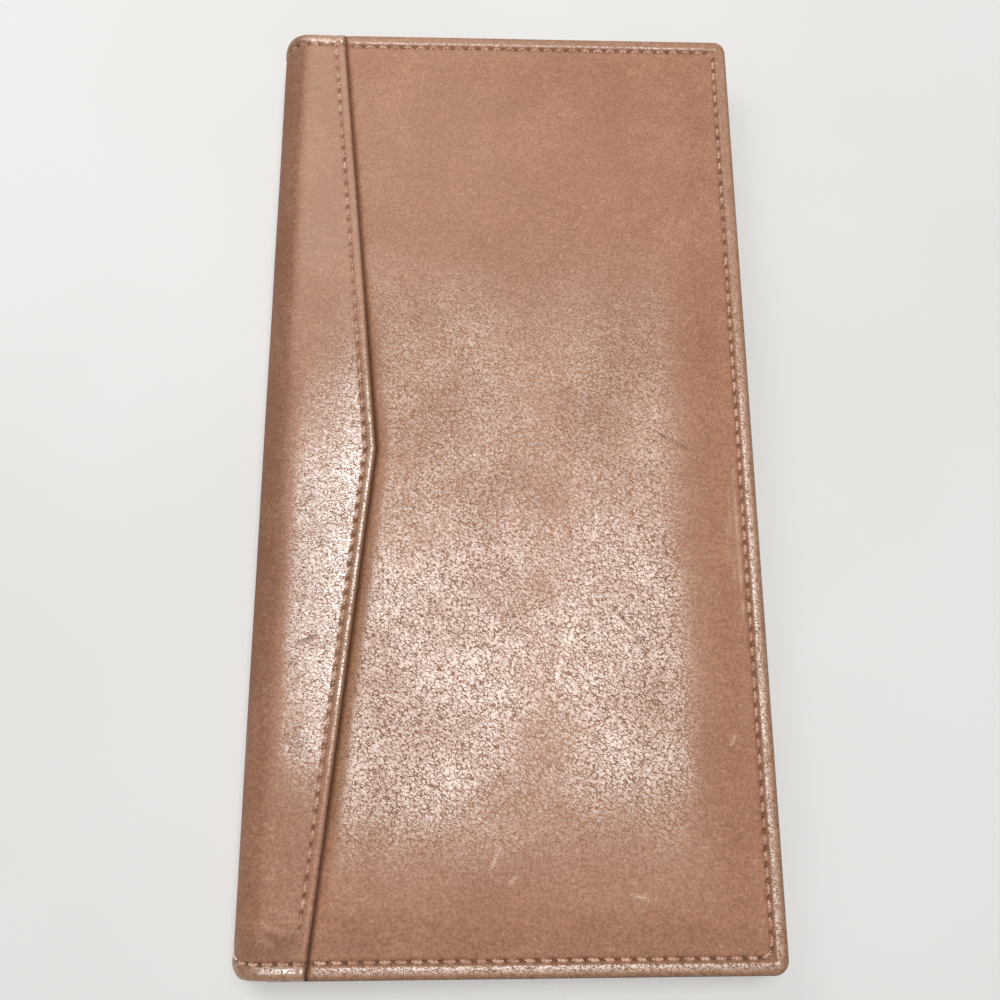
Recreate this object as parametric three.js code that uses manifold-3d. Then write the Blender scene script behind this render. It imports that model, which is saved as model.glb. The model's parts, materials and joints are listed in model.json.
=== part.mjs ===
// Travel document holder: a closed bifold leather wallet, lying on its back cover.
// Millimetres. X runs from the spine to the fore edge, Y along the spine, Z up through the thickness.
// Each cover is built in its own group, where z is the depth from its outer face inwards.

import * as THREE from "three";
import { mergeVertices } from "three/addons/utils/BufferGeometryUtils.js";
import Module from "manifold-3d";

const wasm = await Module();
wasm.setup();

// Whole object, closed
const WIDTH = 115;
const LENGTH = 224;
const THICKNESS = 14;
const CORNER_RADIUS = 3.2;
const SPINE_CORNER_RADIUS = 2.4;

// Sheet materials
const LEATHER = 0.9;
const PADDING = 0.8;
const BOARD = 0.75;
const LINING = 0.35;
const POCKET_LEATHER = 0.7;
const GLUE_GAP = 0.05;

// Spine roll: half a round between the two covers' outer faces
const SPINE_RADIUS = THICKNESS / 2;
const SPINE_X = -WIDTH / 2 + SPINE_RADIUS;
const FOLD_ANGLE = 49;
const FOLD_GAP_ANGLE = 1;
const ROLL_OVERLAP = 0.4;
const SPINE_LINING_RADIUS = 5.95;
const SPINE_LINING_ANGLE = 52;

// Pointed edge of the spine wrap, measured from the spine's outer face
const WRAP_REACH_AT_ENDS = 15.9;
const WRAP_REACH_AT_POINT = 27.2;
const WRAP_STEP = 0.3;

// Cover panel: rolled edge, sunken seam and padded face
const PANEL_SPINE_END = -49.5;
const EDGE_DEPTH = 0.75;
const EDGE_ROUND = 0.9;
const EDGE_WALL_END = 2.2;
const EDGE_CHAMFER = 1.2;
const GROOVE_DEPTH = 1.05;
const GROOVE_WALL = 0.3;
const PAD_SLOPE_END = 9;
const WRAP_SLOPE_LENGTH = 7;
const TURN_IN_WIDTH = 7;
const TURN_IN = 0.45;
const PADDING_EDGE_MARGIN = 0.5;
const PADDING_WRAP_MARGIN = 1;
const PADDING_ROOM = 0.2;
const BOARD_ROOM = 0.1;

// Seams
const SEAM_INSET = 3.6;
const WRAP_SEAM_INSET = 2.5;
const THREAD_WIDTH = 0.8;
const THREAD = 0.4;
const THREAD_SUNK = 0.1;
const SEAM_STEP_WIDTH = 0.6;
const INNER_THREAD = 0.2;
const SEAM_GROOVE_WIDTH = 1.3;

// Inner layers
const BOARD_INSET = 1.1;
const BOARD_SPINE_END = -48.5;
const LINING_INSET = 7.3;
const POCKET_INSET = 1.4;
const POCKET_MOUTH_X = -45;
const MOUTH_SEAM_INSET = 2.5;

// Passport pocket, on the document pocket of the back cover
const PASSPORT = {
  left: -41,
  right: 48.5,
  bottom: -103,
  topLeft: -12,
  topRight: 4,
  seamInset: 2.2,
};

// Card slots, on the ticket pocket of the front cover
const CARD_SLOT = {
  count: 4,
  left: -41,
  right: 51,
  top: 84,
  step: 16,
  lastHeight: 52,
  gap: 0.4,
  seamInset: 2,
};

const OVERLAY_CORNER_RADIUS = 3;
const ARC_SEGMENTS = 6;
const REACH = 2 * LENGTH;
const CUT = 1;
const MERGE_DISTANCE = 1e-4;

// Depths of the layers, from the outer face inwards
const WRAP_BACK_DEPTH = LEATHER;
const BOARD_DEPTH = 2 * LEATHER + GLUE_GAP;
const TURN_IN_DEPTH = BOARD_DEPTH + BOARD + GLUE_GAP;
const PANEL_DEPTH = TURN_IN_DEPTH + TURN_IN;
const LINING_DEPTH = TURN_IN_DEPTH + GLUE_GAP;
const POCKET_DEPTH = PANEL_DEPTH + GLUE_GAP;
const POCKET_FACE = POCKET_DEPTH + POCKET_LEATHER;
const OVERLAY_DEPTH = POCKET_FACE + 2 * GLUE_GAP;
const OVERLAY_FACE = OVERLAY_DEPTH + POCKET_LEATHER;

const finish = (name, color, roughness) => new THREE.MeshStandardMaterial({ name, color, roughness });
const LEATHER_FINISH = finish("leather", 0x96694f, 0.5);
const INNER_FINISH = finish("pocket_leather", 0x8a5f47, 0.6);
const THREAD_FINISH = finish("thread", 0xa98070, 0.7);
const LINING_FINISH = finish("lining", 0x5b4636, 0.9);
const BOARD_FINISH = finish("board", 0xb8a489, 0.9);
const PADDING_FINISH = finish("padding", 0xd9d2c4, 0.95);

// Solids

// A closed geometry as a solid that can be joined to others and cut.
function solidOf(geometry) {
  const bare = geometry.clone();
  bare.deleteAttribute("normal");
  bare.deleteAttribute("uv");
  const merged = mergeVertices(bare, MERGE_DISTANCE);
  const mesh = new wasm.Mesh({
    numProp: 3,
    vertProperties: new Float32Array(merged.attributes.position.array),
    triVerts: new Uint32Array(merged.index.array),
  });
  return new wasm.Manifold(mesh);
}

// The named mesh of a solid.
function meshOf(solid, name, material) {
  const mesh = solid.getMesh();
  const geometry = new THREE.BufferGeometry();
  geometry.setAttribute("position", new THREE.BufferAttribute(new Float32Array(mesh.vertProperties), 3));
  geometry.setIndex(new THREE.BufferAttribute(new Uint32Array(mesh.triVerts), 1));
  geometry.computeVertexNormals();
  const named = new THREE.Mesh(geometry, material);
  named.name = name;
  return named;
}

// A flat plate between two depths.
function plate(shape, from, to) {
  const settings = { depth: to - from, bevelEnabled: false, curveSegments: ARC_SEGMENTS };
  return solidOf(new THREE.ExtrudeGeometry(shape, settings).translate(0, 0, from));
}

// A solid through rings of points that run anticlockwise, from the lowest ring to the highest.
function loft(rings) {
  const count = rings[0].length;
  const index = [];
  for (let ring = 0; ring + 1 < rings.length; ring++) {
    for (let i = 0; i < count; i++) {
      const next = (i + 1) % count;
      const low = ring * count;
      const high = low + count;
      index.push(low + i, low + next, high + next);
      index.push(low + i, high + next, high + i);
    }
  }
  const flatten = (ring) => ring.map((p) => new THREE.Vector2(p.x, p.y));
  const capOf = (ring) => THREE.ShapeUtils.triangulateShape(flatten(ring), []);
  const last = (rings.length - 1) * count;
  capOf(rings[0]).forEach(([a, b, c]) => index.push(a, c, b));
  capOf(rings[rings.length - 1]).forEach(([a, b, c]) => index.push(last + a, last + b, last + c));
  const geometry = new THREE.BufferGeometry().setFromPoints(rings.flat());
  geometry.setIndex(index);
  return solidOf(geometry);
}

// A box between two corners.
function block(low, high) {
  const size = high.map((value, axis) => value - low[axis]);
  const middle = high.map((value, axis) => (value + low[axis]) / 2);
  return solidOf(new THREE.BoxGeometry(...size).translate(...middle));
}

// Outlines

// A rectangle with one radius at its corners towards the spine and one at the others.
function roundedRectangle(left, right, bottom, top, spineRadius, foreRadius) {
  const shape = new THREE.Shape();
  shape.moveTo(left + spineRadius, bottom);
  shape.lineTo(right - foreRadius, bottom);
  shape.absarc(right - foreRadius, bottom + foreRadius, foreRadius, -Math.PI / 2, 0);
  shape.lineTo(right, top - foreRadius);
  shape.absarc(right - foreRadius, top - foreRadius, foreRadius, 0, Math.PI / 2);
  shape.lineTo(left + spineRadius, top);
  shape.absarc(left + spineRadius, top - spineRadius, spineRadius, Math.PI / 2, Math.PI);
  shape.lineTo(left, bottom + spineRadius);
  shape.absarc(left + spineRadius, bottom + spineRadius, spineRadius, Math.PI, 1.5 * Math.PI);
  shape.closePath();
  return shape;
}

// The cover's outline drawn in all round, running past the spine.
function coverOutline(inset) {
  const radius = Math.max(CORNER_RADIUS - inset, 1);
  const top = LENGTH / 2 - inset;
  return roundedRectangle(-WIDTH, WIDTH / 2 - inset, -top, top, radius, radius);
}

function wholeOutline() {
  const [x, y] = [WIDTH / 2, LENGTH / 2];
  return roundedRectangle(-x, x, -y, y, SPINE_CORNER_RADIUS, CORNER_RADIUS);
}

// Where the wrap's pointed edge lies at a place along the spine.
function wrapEdge(y) {
  const drop = (WRAP_REACH_AT_POINT - WRAP_REACH_AT_ENDS) * Math.abs(y) / (LENGTH / 2);
  return -WIDTH / 2 + WRAP_REACH_AT_POINT - drop;
}

// Everything on the spine's side of the wrap's edge, which may slope from one depth to the next.
function spineSide(lowOffset, highOffset, from, to) {
  const ring = (offset, z) => [
    new THREE.Vector3(-REACH, -LENGTH, z),
    new THREE.Vector3(wrapEdge(-LENGTH) + offset, -LENGTH, z),
    new THREE.Vector3(wrapEdge(0) + offset, 0, z),
    new THREE.Vector3(wrapEdge(LENGTH) + offset, LENGTH, z),
    new THREE.Vector3(-REACH, LENGTH, z),
  ];
  return loft([ring(lowOffset, from), ring(highOffset, to)]);
}

function pastX(x) {
  return block([-REACH, -REACH, -REACH], [x, REACH, REACH]);
}

// Part of a ring round the spine's axis, by angles from the back face towards the front face.
function spineArc(inner, outer, fromAngle, toAngle, bottom, top) {
  const start = THREE.MathUtils.degToRad(270 - toAngle);
  const end = THREE.MathUtils.degToRad(270 - fromAngle);
  const shape = new THREE.Shape();
  shape.absarc(SPINE_X, SPINE_RADIUS, outer, start, end, false);
  shape.absarc(SPINE_X, SPINE_RADIUS, inner, end, start, true);
  shape.closePath();
  const settings = { depth: top - bottom, bevelEnabled: false, curveSegments: 2 * ARC_SEGMENTS };
  const geometry = new THREE.ExtrudeGeometry(shape, settings);
  geometry.rotateX(Math.PI / 2);
  return solidOf(geometry.translate(0, top, 0));
}

// A band of thread that follows the cover's outline, between two depths.
function edgeBand(inset, width, from, to) {
  const outside = plate(coverOutline(inset - width / 2), from, to);
  return outside.subtract(plate(coverOutline(inset + width / 2), from - CUT, to + CUT));
}

// A band that follows the wrap's pointed edge, up to its two end seams.
function wrapBand(width, from, to, end) {
  const middle = -WRAP_SEAM_INSET;
  const band = spineSide(middle + width / 2, middle + width / 2, from, to)
    .subtract(spineSide(middle - width / 2, middle - width / 2, from - CUT, to + CUT));
  return band.intersect(block([-REACH, -end, from - CUT], [REACH, end, to + CUT]));
}

// Pieces that both covers have

// The padded face: rolled edge, sunken seam, padded middle, and its turned-in edge on the inside.
function panel() {
  const groove = SEAM_GROOVE_WIDTH / 2;
  const edgeRound = [0, 45, 90].map(THREE.MathUtils.degToRad).map((angle) => [
    EDGE_ROUND * (1 - Math.sin(angle)),
    EDGE_DEPTH + EDGE_ROUND * (1 - Math.cos(angle)),
  ]);
  const profile = [
    [PAD_SLOPE_END, 0],
    [SEAM_INSET + groove + GROOVE_WALL, EDGE_DEPTH],
    [SEAM_INSET + groove, GROOVE_DEPTH],
    [SEAM_INSET - groove, GROOVE_DEPTH],
    [SEAM_INSET - groove - GROOVE_WALL, EDGE_DEPTH],
    ...edgeRound,
    [0, EDGE_WALL_END],
    [EDGE_CHAMFER, PANEL_DEPTH],
  ];
  const ringOf = ([inset, depth]) => coverOutline(inset).extractPoints(ARC_SEGMENTS).shape
    .slice(0, -1).map((p) => new THREE.Vector3(p.x, p.y, depth));
  const slope = WRAP_SLOPE_LENGTH / WRAP_BACK_DEPTH;
  const rise = spineSide(WRAP_SLOPE_LENGTH + slope * CUT, WRAP_STEP, -CUT, WRAP_BACK_DEPTH);
  return loft(profile.map(ringOf))
    .subtract(rise)
    .subtract(paddingPlate(LEATHER, BOARD_DEPTH, PADDING_ROOM))
    .subtract(plate(coverOutline(BOARD_INSET - BOARD_ROOM), BOARD_DEPTH - GLUE_GAP, TURN_IN_DEPTH))
    .subtract(plate(coverOutline(TURN_IN_WIDTH), BOARD_DEPTH, PANEL_DEPTH + CUT))
    .subtract(pastX(PANEL_SPINE_END));
}

// The foam under the padded face, or the room for it when grown.
function paddingPlate(from, to, grown) {
  const inset = PAD_SLOPE_END + PADDING_EDGE_MARGIN - grown;
  const offset = WRAP_SLOPE_LENGTH + PADDING_WRAP_MARGIN - grown;
  return plate(coverOutline(inset), from, to).subtract(spineSide(offset, offset, from - CUT, to + CUT));
}

function padding() {
  const from = LEATHER + GLUE_GAP;
  return paddingPlate(from, from + PADDING, 0);
}

function board() {
  return plate(coverOutline(BOARD_INSET), BOARD_DEPTH, BOARD_DEPTH + BOARD)
    .subtract(pastX(BOARD_SPINE_END));
}

function lining() {
  return plate(coverOutline(LINING_INSET), LINING_DEPTH, LINING_DEPTH + LINING)
    .subtract(pastX(BOARD_SPINE_END));
}

// The wrap's leather on one cover, with the first part of the roll round the spine.
function wrapFlap() {
  const flat = plate(wholeOutline(), 0, LEATHER)
    .intersect(spineSide(0, 0, -CUT, LEATHER + CUT))
    .subtract(pastX(SPINE_X - ROLL_OVERLAP));
  const end = LENGTH / 2;
  const roll = spineArc(SPINE_RADIUS - LEATHER, SPINE_RADIUS, 0, FOLD_ANGLE - FOLD_GAP_ANGLE, -end, end)
    .intersect(plate(wholeOutline(), -CUT, THICKNESS));
  const depth = THREAD + THREAD_SUNK;
  const seamRoom = edgeBand(SEAM_INSET, SEAM_GROOVE_WIDTH, -CUT, depth).subtract(pastX(SPINE_X));
  const edgeRoom = wrapBand(SEAM_GROOVE_WIDTH, -CUT, depth, end - SEAM_INSET);
  return flat.add(roll).subtract(seamRoom).subtract(edgeRoom);
}

function wrapThread() {
  const end = LENGTH / 2 - SEAM_INSET - THREAD_WIDTH;
  return wrapBand(THREAD_WIDTH, THREAD_SUNK, THREAD_SUNK + THREAD, end);
}

// The seam round a cover: over the wrap's ends, down its step and round the padded face.
function edgeThread() {
  const near = WRAP_STEP / 3;
  const far = near + SEAM_STEP_WIDTH;
  const band = (from, to) => edgeBand(SEAM_INSET, THREAD_WIDTH, from, to);
  const beside = (offset) => spineSide(offset, offset, -CUT, THICKNESS);
  const overWrap = band(THREAD_SUNK, THREAD_SUNK + THREAD)
    .intersect(beside(far))
    .subtract(pastX(SPINE_X));
  const down = band(THREAD_SUNK, GROOVE_DEPTH).intersect(beside(far)).subtract(beside(near));
  const roundFace = band(GROOVE_DEPTH - THREAD, GROOVE_DEPTH).subtract(beside(near));
  return overWrap.add(down).add(roundFace);
}

function longPocket() {
  return plate(coverOutline(POCKET_INSET), POCKET_DEPTH, POCKET_FACE).subtract(pastX(POCKET_MOUTH_X));
}

function innerThread() {
  return edgeBand(SEAM_INSET, THREAD_WIDTH, POCKET_FACE, POCKET_FACE + INNER_THREAD)
    .subtract(pastX(POCKET_MOUTH_X));
}

function mouthThread() {
  const x = POCKET_MOUTH_X + MOUTH_SEAM_INSET;
  const end = LENGTH / 2 - SEAM_INSET - THREAD_WIDTH;
  const half = THREAD_WIDTH / 2;
  return block([x - half, -end, POCKET_FACE], [x + half, end, POCKET_FACE + INNER_THREAD]);
}

// A four-sided plate with rounded lower corners and a straight mouth.
function pocketOutline({ left, right, bottom, topLeft, topRight }) {
  const r = OVERLAY_CORNER_RADIUS;
  const shape = new THREE.Shape();
  shape.moveTo(left, topLeft);
  shape.lineTo(left, bottom + r);
  shape.absarc(left + r, bottom + r, r, Math.PI, 1.5 * Math.PI);
  shape.lineTo(right - r, bottom);
  shape.absarc(right - r, bottom + r, r, -Math.PI / 2, 0);
  shape.lineTo(right, topRight);
  shape.closePath();
  return shape;
}

// The seam down one side of a sewn-on pocket, along its bottom and up the other side.
function pocketThread(pocket, from, to) {
  const drawnIn = (inset, aboveMouth) => pocketOutline({
    left: pocket.left + inset,
    right: pocket.right - inset,
    bottom: pocket.bottom + inset,
    topLeft: pocket.topLeft + aboveMouth,
    topRight: pocket.topRight + aboveMouth,
  });
  const outside = plate(drawnIn(pocket.seamInset - THREAD_WIDTH / 2, 0), from, to);
  return outside.subtract(plate(drawnIn(pocket.seamInset + THREAD_WIDTH / 2, CUT), from - CUT, to + CUT));
}

// A cover: its panel, layers, wrap flap, long pocket and seams.
function cover(side, longPocketName) {
  const group = new THREE.Group();
  group.name = `${side}_cover`;
  group.add(
    meshOf(panel(), `${side}_panel`, LEATHER_FINISH),
    meshOf(padding(), `${side}_padding`, PADDING_FINISH),
    meshOf(board(), `${side}_board`, BOARD_FINISH),
    meshOf(lining(), `${side}_lining`, LINING_FINISH),
    meshOf(wrapFlap(), `${side}_wrap`, LEATHER_FINISH),
    meshOf(wrapThread(), `${side}_wrap_thread`, THREAD_FINISH),
    meshOf(edgeThread(), `${side}_edge_thread`, THREAD_FINISH),
    meshOf(innerThread(), `${side}_inner_thread`, THREAD_FINISH),
    meshOf(longPocket(), longPocketName, INNER_FINISH),
    meshOf(mouthThread(), `${longPocketName}_mouth_thread`, THREAD_FINISH),
  );
  return group;
}

// Back cover, with the passport pocket
const backCover = cover("back", "document_pocket");
const passportSeam = pocketThread(PASSPORT, OVERLAY_FACE, OVERLAY_FACE + INNER_THREAD);
backCover.add(
  meshOf(plate(pocketOutline(PASSPORT), OVERLAY_DEPTH, OVERLAY_FACE), "passport_pocket", INNER_FINISH),
  meshOf(passportSeam, "passport_pocket_thread", THREAD_FINISH),
);

// Front cover: the same cover turned over about X
const frontCover = cover("front", "ticket_pocket");
frontCover.rotation.x = Math.PI;
frontCover.position.z = THICKNESS;

// Card slots under the ticket pocket's face: strips with their mouths up, the last one the longest
const cardSlots = new THREE.Group();
cardSlots.name = "card_slots";
const { left, right } = CARD_SLOT;
const lastMouth = CARD_SLOT.top - (CARD_SLOT.count - 1) * CARD_SLOT.step;
const cardBottom = lastMouth - CARD_SLOT.lastHeight;
const [cardFace, cardBack] = [THICKNESS - OVERLAY_FACE, THICKNESS - OVERLAY_DEPTH];
for (let slot = 0; slot + 1 < CARD_SLOT.count; slot++) {
  const mouth = CARD_SLOT.top - slot * CARD_SLOT.step;
  const bottom = mouth - CARD_SLOT.step + CARD_SLOT.gap;
  const strip = roundedRectangle(left, right, bottom, mouth, CARD_SLOT.gap, CARD_SLOT.gap);
  cardSlots.add(meshOf(plate(strip, cardFace, cardBack), `card_slot_${slot + 1}`, INNER_FINISH));
}
const lastCard = { ...CARD_SLOT, bottom: cardBottom, topLeft: lastMouth, topRight: lastMouth };
const lastStrip = pocketOutline(lastCard);
const cardBlock = { ...CARD_SLOT, bottom: cardBottom, topLeft: CARD_SLOT.top, topRight: CARD_SLOT.top };
const cardSeam = pocketThread(cardBlock, cardFace - INNER_THREAD, cardFace);
cardSlots.add(
  meshOf(plate(lastStrip, cardFace, cardBack), `card_slot_${CARD_SLOT.count}`, INNER_FINISH),
  meshOf(cardSeam, "card_slot_thread", THREAD_FINISH),
);

// Spine: the middle of the wrap's roll, its lining and the ends of the edge seam
const spine = new THREE.Group();
spine.name = "spine";
const [rollFrom, rollTo] = [FOLD_ANGLE + FOLD_GAP_ANGLE, 180 - FOLD_ANGLE - FOLD_GAP_ANGLE];
const seamY = LENGTH / 2 - SEAM_INSET;
const roll = spineArc(SPINE_RADIUS - LEATHER, SPINE_RADIUS, rollFrom, rollTo, -LENGTH / 2, LENGTH / 2)
  .intersect(plate(wholeOutline(), -CUT, THICKNESS + CUT));
const threadTop = SPINE_RADIUS - THREAD_SUNK;
const seamFloor = threadTop - THREAD;
const [roomHalf, threadHalf] = [SEAM_GROOVE_WIDTH / 2, THREAD_WIDTH / 2];
const seamRoom = (y) => spineArc(seamFloor, SPINE_RADIUS + CUT, 0, 180, y - roomHalf, y + roomHalf);
const spineSeam = (y) => spineArc(seamFloor, threadTop, rollFrom, rollTo, y - threadHalf, y + threadHalf);
const liningStrip = spineArc(
  SPINE_LINING_RADIUS - LINING, SPINE_LINING_RADIUS,
  SPINE_LINING_ANGLE, 180 - SPINE_LINING_ANGLE,
  -LENGTH / 2 + LINING_INSET, LENGTH / 2 - LINING_INSET,
);
spine.add(
  meshOf(roll.subtract(seamRoom(seamY)).subtract(seamRoom(-seamY)), "spine_wrap", LEATHER_FINISH),
  meshOf(liningStrip, "spine_lining", LINING_FINISH),
  meshOf(spineSeam(seamY), "spine_head_thread", THREAD_FINISH),
  meshOf(spineSeam(-seamY), "spine_tail_thread", THREAD_FINISH),
);

const holder = new THREE.Group();
holder.name = "travel_document_holder";
holder.add(backCover, spine, frontCover, cardSlots);

export default holder;
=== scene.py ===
"""Dresses the travel document holder: padded covers, a pointed spine wrap, stitches, pockets and cloth.

Shapes are worked out in millimetres. Each flat piece is made in local points (u, v, h), where h is
the height along the direction that its face looks, and is then placed on its cover.
"""

import json
import math

import bpy
import numpy as np
from mathutils import Euler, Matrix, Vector, noise
from mathutils.geometry import delaunay_2d_cdt
from mathutils.kdtree import KDTree

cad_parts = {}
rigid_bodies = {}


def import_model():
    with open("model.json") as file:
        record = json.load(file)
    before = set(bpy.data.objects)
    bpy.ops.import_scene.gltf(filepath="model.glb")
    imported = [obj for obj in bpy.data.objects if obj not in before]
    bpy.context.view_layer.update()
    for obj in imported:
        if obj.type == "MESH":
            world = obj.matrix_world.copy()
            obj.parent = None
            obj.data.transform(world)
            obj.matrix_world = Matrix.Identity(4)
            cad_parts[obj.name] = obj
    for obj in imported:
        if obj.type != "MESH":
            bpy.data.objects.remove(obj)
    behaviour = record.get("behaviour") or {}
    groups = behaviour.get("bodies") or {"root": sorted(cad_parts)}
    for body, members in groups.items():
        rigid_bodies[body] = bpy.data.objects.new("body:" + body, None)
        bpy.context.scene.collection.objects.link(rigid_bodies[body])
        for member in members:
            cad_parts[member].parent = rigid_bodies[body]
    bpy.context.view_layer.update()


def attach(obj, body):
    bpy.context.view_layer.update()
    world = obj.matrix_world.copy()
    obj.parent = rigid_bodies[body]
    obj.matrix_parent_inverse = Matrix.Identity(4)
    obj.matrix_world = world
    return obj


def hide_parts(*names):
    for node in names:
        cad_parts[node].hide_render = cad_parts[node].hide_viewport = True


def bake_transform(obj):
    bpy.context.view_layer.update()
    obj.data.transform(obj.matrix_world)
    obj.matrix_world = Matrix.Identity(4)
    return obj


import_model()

MM = 0.001

# Below, a hump is (strength, place, width), a ramp is (start, length), a swell is (height, bump size)

# Whole object, closed
WIDTH = 115.0
LENGTH = 224.0
THICKNESS = 14.0
CORNER_RADIUS = 3.2
LEAST_RADIUS = 0.3
SPINE_RADIUS = THICKNESS / 2
SPINE_X = -WIDTH / 2 + SPINE_RADIUS
HEAD_RADIUS = 2.6
HEAD_SOFTNESS = 0.35
HEAD_PULL_START = 88.0

# Sheets and depths from a cover's outer face inwards
LEATHER = 0.9
PANEL_SPINE_END = -49.5
BOARD_ROOM = 1.9
TURN_IN_DEPTH = 2.68
PANEL_DEPTH = 3.1
TURN_IN_WIDTH = 7.0
LINING_DEPTH = 2.7
LINING = 0.35
LINING_INSET = 7.3
LINING_LEFT = -48.4
POCKET_DEPTH = 3.15
POCKET_FACE = 3.85
OVERLAY_DEPTH = 3.95
OVERLAY_FACE = 4.65

# Rings of a cover's turned-in edge: inset from its outer edge, inset from its spine edge, depth
TURNED_EDGE = [
    (0.0, 0.02, 2.3),
    (0.3, 0.05, 2.75),
    (1.2, 0.1, PANEL_DEPTH),
    (TURN_IN_WIDTH, 0.2, PANEL_DEPTH),
    (TURN_IN_WIDTH, 0.25, TURN_IN_DEPTH),
    (1.0, 0.9, TURN_IN_DEPTH),
    (1.0, 0.95, BOARD_ROOM),
]

# Rolled edge, sunken seam and padded face of a cover
EDGE_DEPTH = 0.75
EDGE_ROLL = 1.3
ROLL_WIDTH = 1.0
EDGE_CROWN, CROWN_INSET, CROWN_WIDTH = 0.32, 1.85, 1.5
SEAM_INSET = 3.6
SEAM_CORNER_RADIUS = 1.8
SEAM_FROM_WRAP = 0.9
GROOVE = 0.36
GROOVE_WIDTH = 0.5
PAD_REACH = 15.0
PAD_SWELL = (0.07, 26.0)
PAD_RIPPLE = (0.03, 7.0)

# The cover's leather beside the wrap, where it comes up from under it, and its clearance below it
WRAP_SLOPE_START = 0.3
WRAP_SLOPE = 0.8
UNDER_WRAP = 0.2
WRAP_CLEARANCE = 0.04

# Pointed edge of the spine wrap, measured from the spine's outer face
WRAP_REACH_AT_ENDS = 15.9
WRAP_REACH_AT_POINT = 27.2
WRAP_SHORTER = 0.4
WRAP_ROUNDING = 0.86
WRAP_FOLD_WIDTH = 0.8
WRAP_END_WIDTH = 1.6
WRAP_CROWN = (0.12, 1.1, 0.6)
END_CROWN = (0.2, 1.4, 0.9)
WRAP_DIP, WRAP_DIP_WIDTH = 0.1, 5.0
WRAP_SWELL = (0.06, 22.0)
WRINKLES = (0.035, 2.4)
WRAP_MOST_RISE = 0.25
WRAP_LEAST_SHEET = 0.03

# Seam along the pointed edge
WRAP_SEAM_INSET = 2.5
WRAP_SEAM_END = 102.0
WRAP_SEAM_BELOW_EDGE_SEAM = 0.6
WRAP_GROOVE = (0.14, WRAP_SEAM_INSET, 0.5)

# Ends of the edge seam over the roll and at the wrap's edge
END_SEAM_FROM_MIDDLE = 1.6
END_SEAM_FROM_FOLD = 0.3

# Stitches: two twisted plies that dive into a hole at each end, and how deep each seam's lie
STITCH_PITCH = 3.27
STITCH_GAP = 0.4
STITCH_LEAN = 0.16
STITCH_DIVE = 0.75
STITCH_UNEVENNESS = 0.03
PLY_RADIUS = 0.2
PLY_TURNS = 1.5
PLY_RINGS = 9
PLY_SIDES = 6
HOLE_DEPTH = 0.4
HOLE_WIDTH = 0.32
EDGE_STITCH_SINK = 0.18
WRAP_STITCH_SINK = 0.2
INNER_STITCH_SINK = 0.12
CARD_STITCH_SINK = 0.02

# Inside pockets
POCKET_INSET = 1.4
POCKET_MOUTH_X = -45.0
POCKET_ROUNDING, POCKET_ROUND_WIDTH = 0.3, 0.45
POCKET_SWELL = (0.05, 18.0)
POCKET_LINE = (0.1, 1.4, 0.5)
SEAM_PRESS = (0.12, 0.0, 0.6)
MOUTH_SEAM_INSET = 2.5
MOUTH_SEAM_FROM_EDGE_SEAM = 1.2
INNER_SEAM_FROM_MOUTH = 0.8
PASSPORT_LEFT, PASSPORT_RIGHT, PASSPORT_BOTTOM = -41.0, 48.5, -103.0
PASSPORT_TOP_LEFT, PASSPORT_TOP_RIGHT = -12.0, 4.0
PASSPORT_SEAM_INSET = 2.2
CARD_LEFT, CARD_RIGHT, CARD_TOP = -41.0, 51.0, 84.0
CARD_STEP = 16.0
CARD_LAST_HEIGHT = 52.0
CARD_COUNT = 4
CARD_TUCK = 2.0
CARD_LEATHER = 0.38
CARD_LIFT = 0.12
CARD_ROUNDING, CARD_ROUND_WIDTH = 0.25, 0.4
CARD_LINE = (0.12, 1.9, 0.45)
CARD_LIP = (0.05, 0.9, 0.5)
CARD_SWELL = (0.03, 14.0)
CARD_SEAM_INSET = 2.0
SEAM_BELOW_MOUTH = 1.0
SEAM_TOP_CLEARANCE = 0.6
OVERLAY_CORNER_RADIUS = 3.0

# Cloth inside the spine: its path from under a pocket to the roll as (x, z), then round the roll in degrees
CLOTH_PATH = [(-45.7, 3.28), (-47.6, 3.3), (-49.6, 3.25), (-52.0, 2.55), (-54.2, 3.2)]
CLOTH_ROLL_RADIUS = 5.75
CLOTH_ROLL_START, CLOTH_ROLL_END = 58, 90
CLOTH_HALF_THICKNESS = 0.15
CLOTH_SMOOTHING = 4
LINING_SWELL = (0.02, 12.0)

# Fineness of the meshes, and the insets of the rows of points along edges
SHORT_STEPS, LONG_STEPS, SPINE_STEPS = 238, 478, 100
CORNER_STEPS = 14
POCKET_STEP = 0.8
FACE_STEP = 1.2
HIDDEN_STEP = 6.0
POCKET_GRID_STEP = 2.2
CARD_GRID_STEP = 2.0
LINING_GRID_STEP = 4.0
FACE_GRID_LEFT = -49.0
HIDDEN_LEFT, HIDDEN_RIGHT = -46.0, -20.0
BESIDE_WRAP_STEP, BESIDE_WRAP_END = 0.9, 5.0
WRAP_STEP = 0.55
WRAP_ROWS_START, WRAP_ROWS_END = 5.3, 5.2
ROLL_ROWS, FLAP_ROWS = 26, 16
CLOTH_ROWS, CLOTH_COLUMNS, CLOTH_ROLL_POINTS = 40, 60, 12
FACE_ROWS = [0.03, 0.12, 0.28, 0.5, 0.8, 1.2, 1.6, 2.0, 2.4, 2.75, 3.05, 3.3, 3.5, 3.7, 3.9, 4.15, 4.5, 5.0]
BESIDE_WRAP_ROWS = [0.1, 0.3, 0.7, 1.2]
WRAP_END_ROWS = [0, 0.04, 0.13, 0.3, 0.55, 0.9, 1.3, 1.7, 2.1, 2.4, 2.65, 2.9, 3.2, 3.5, 3.9, 4.5]
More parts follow.
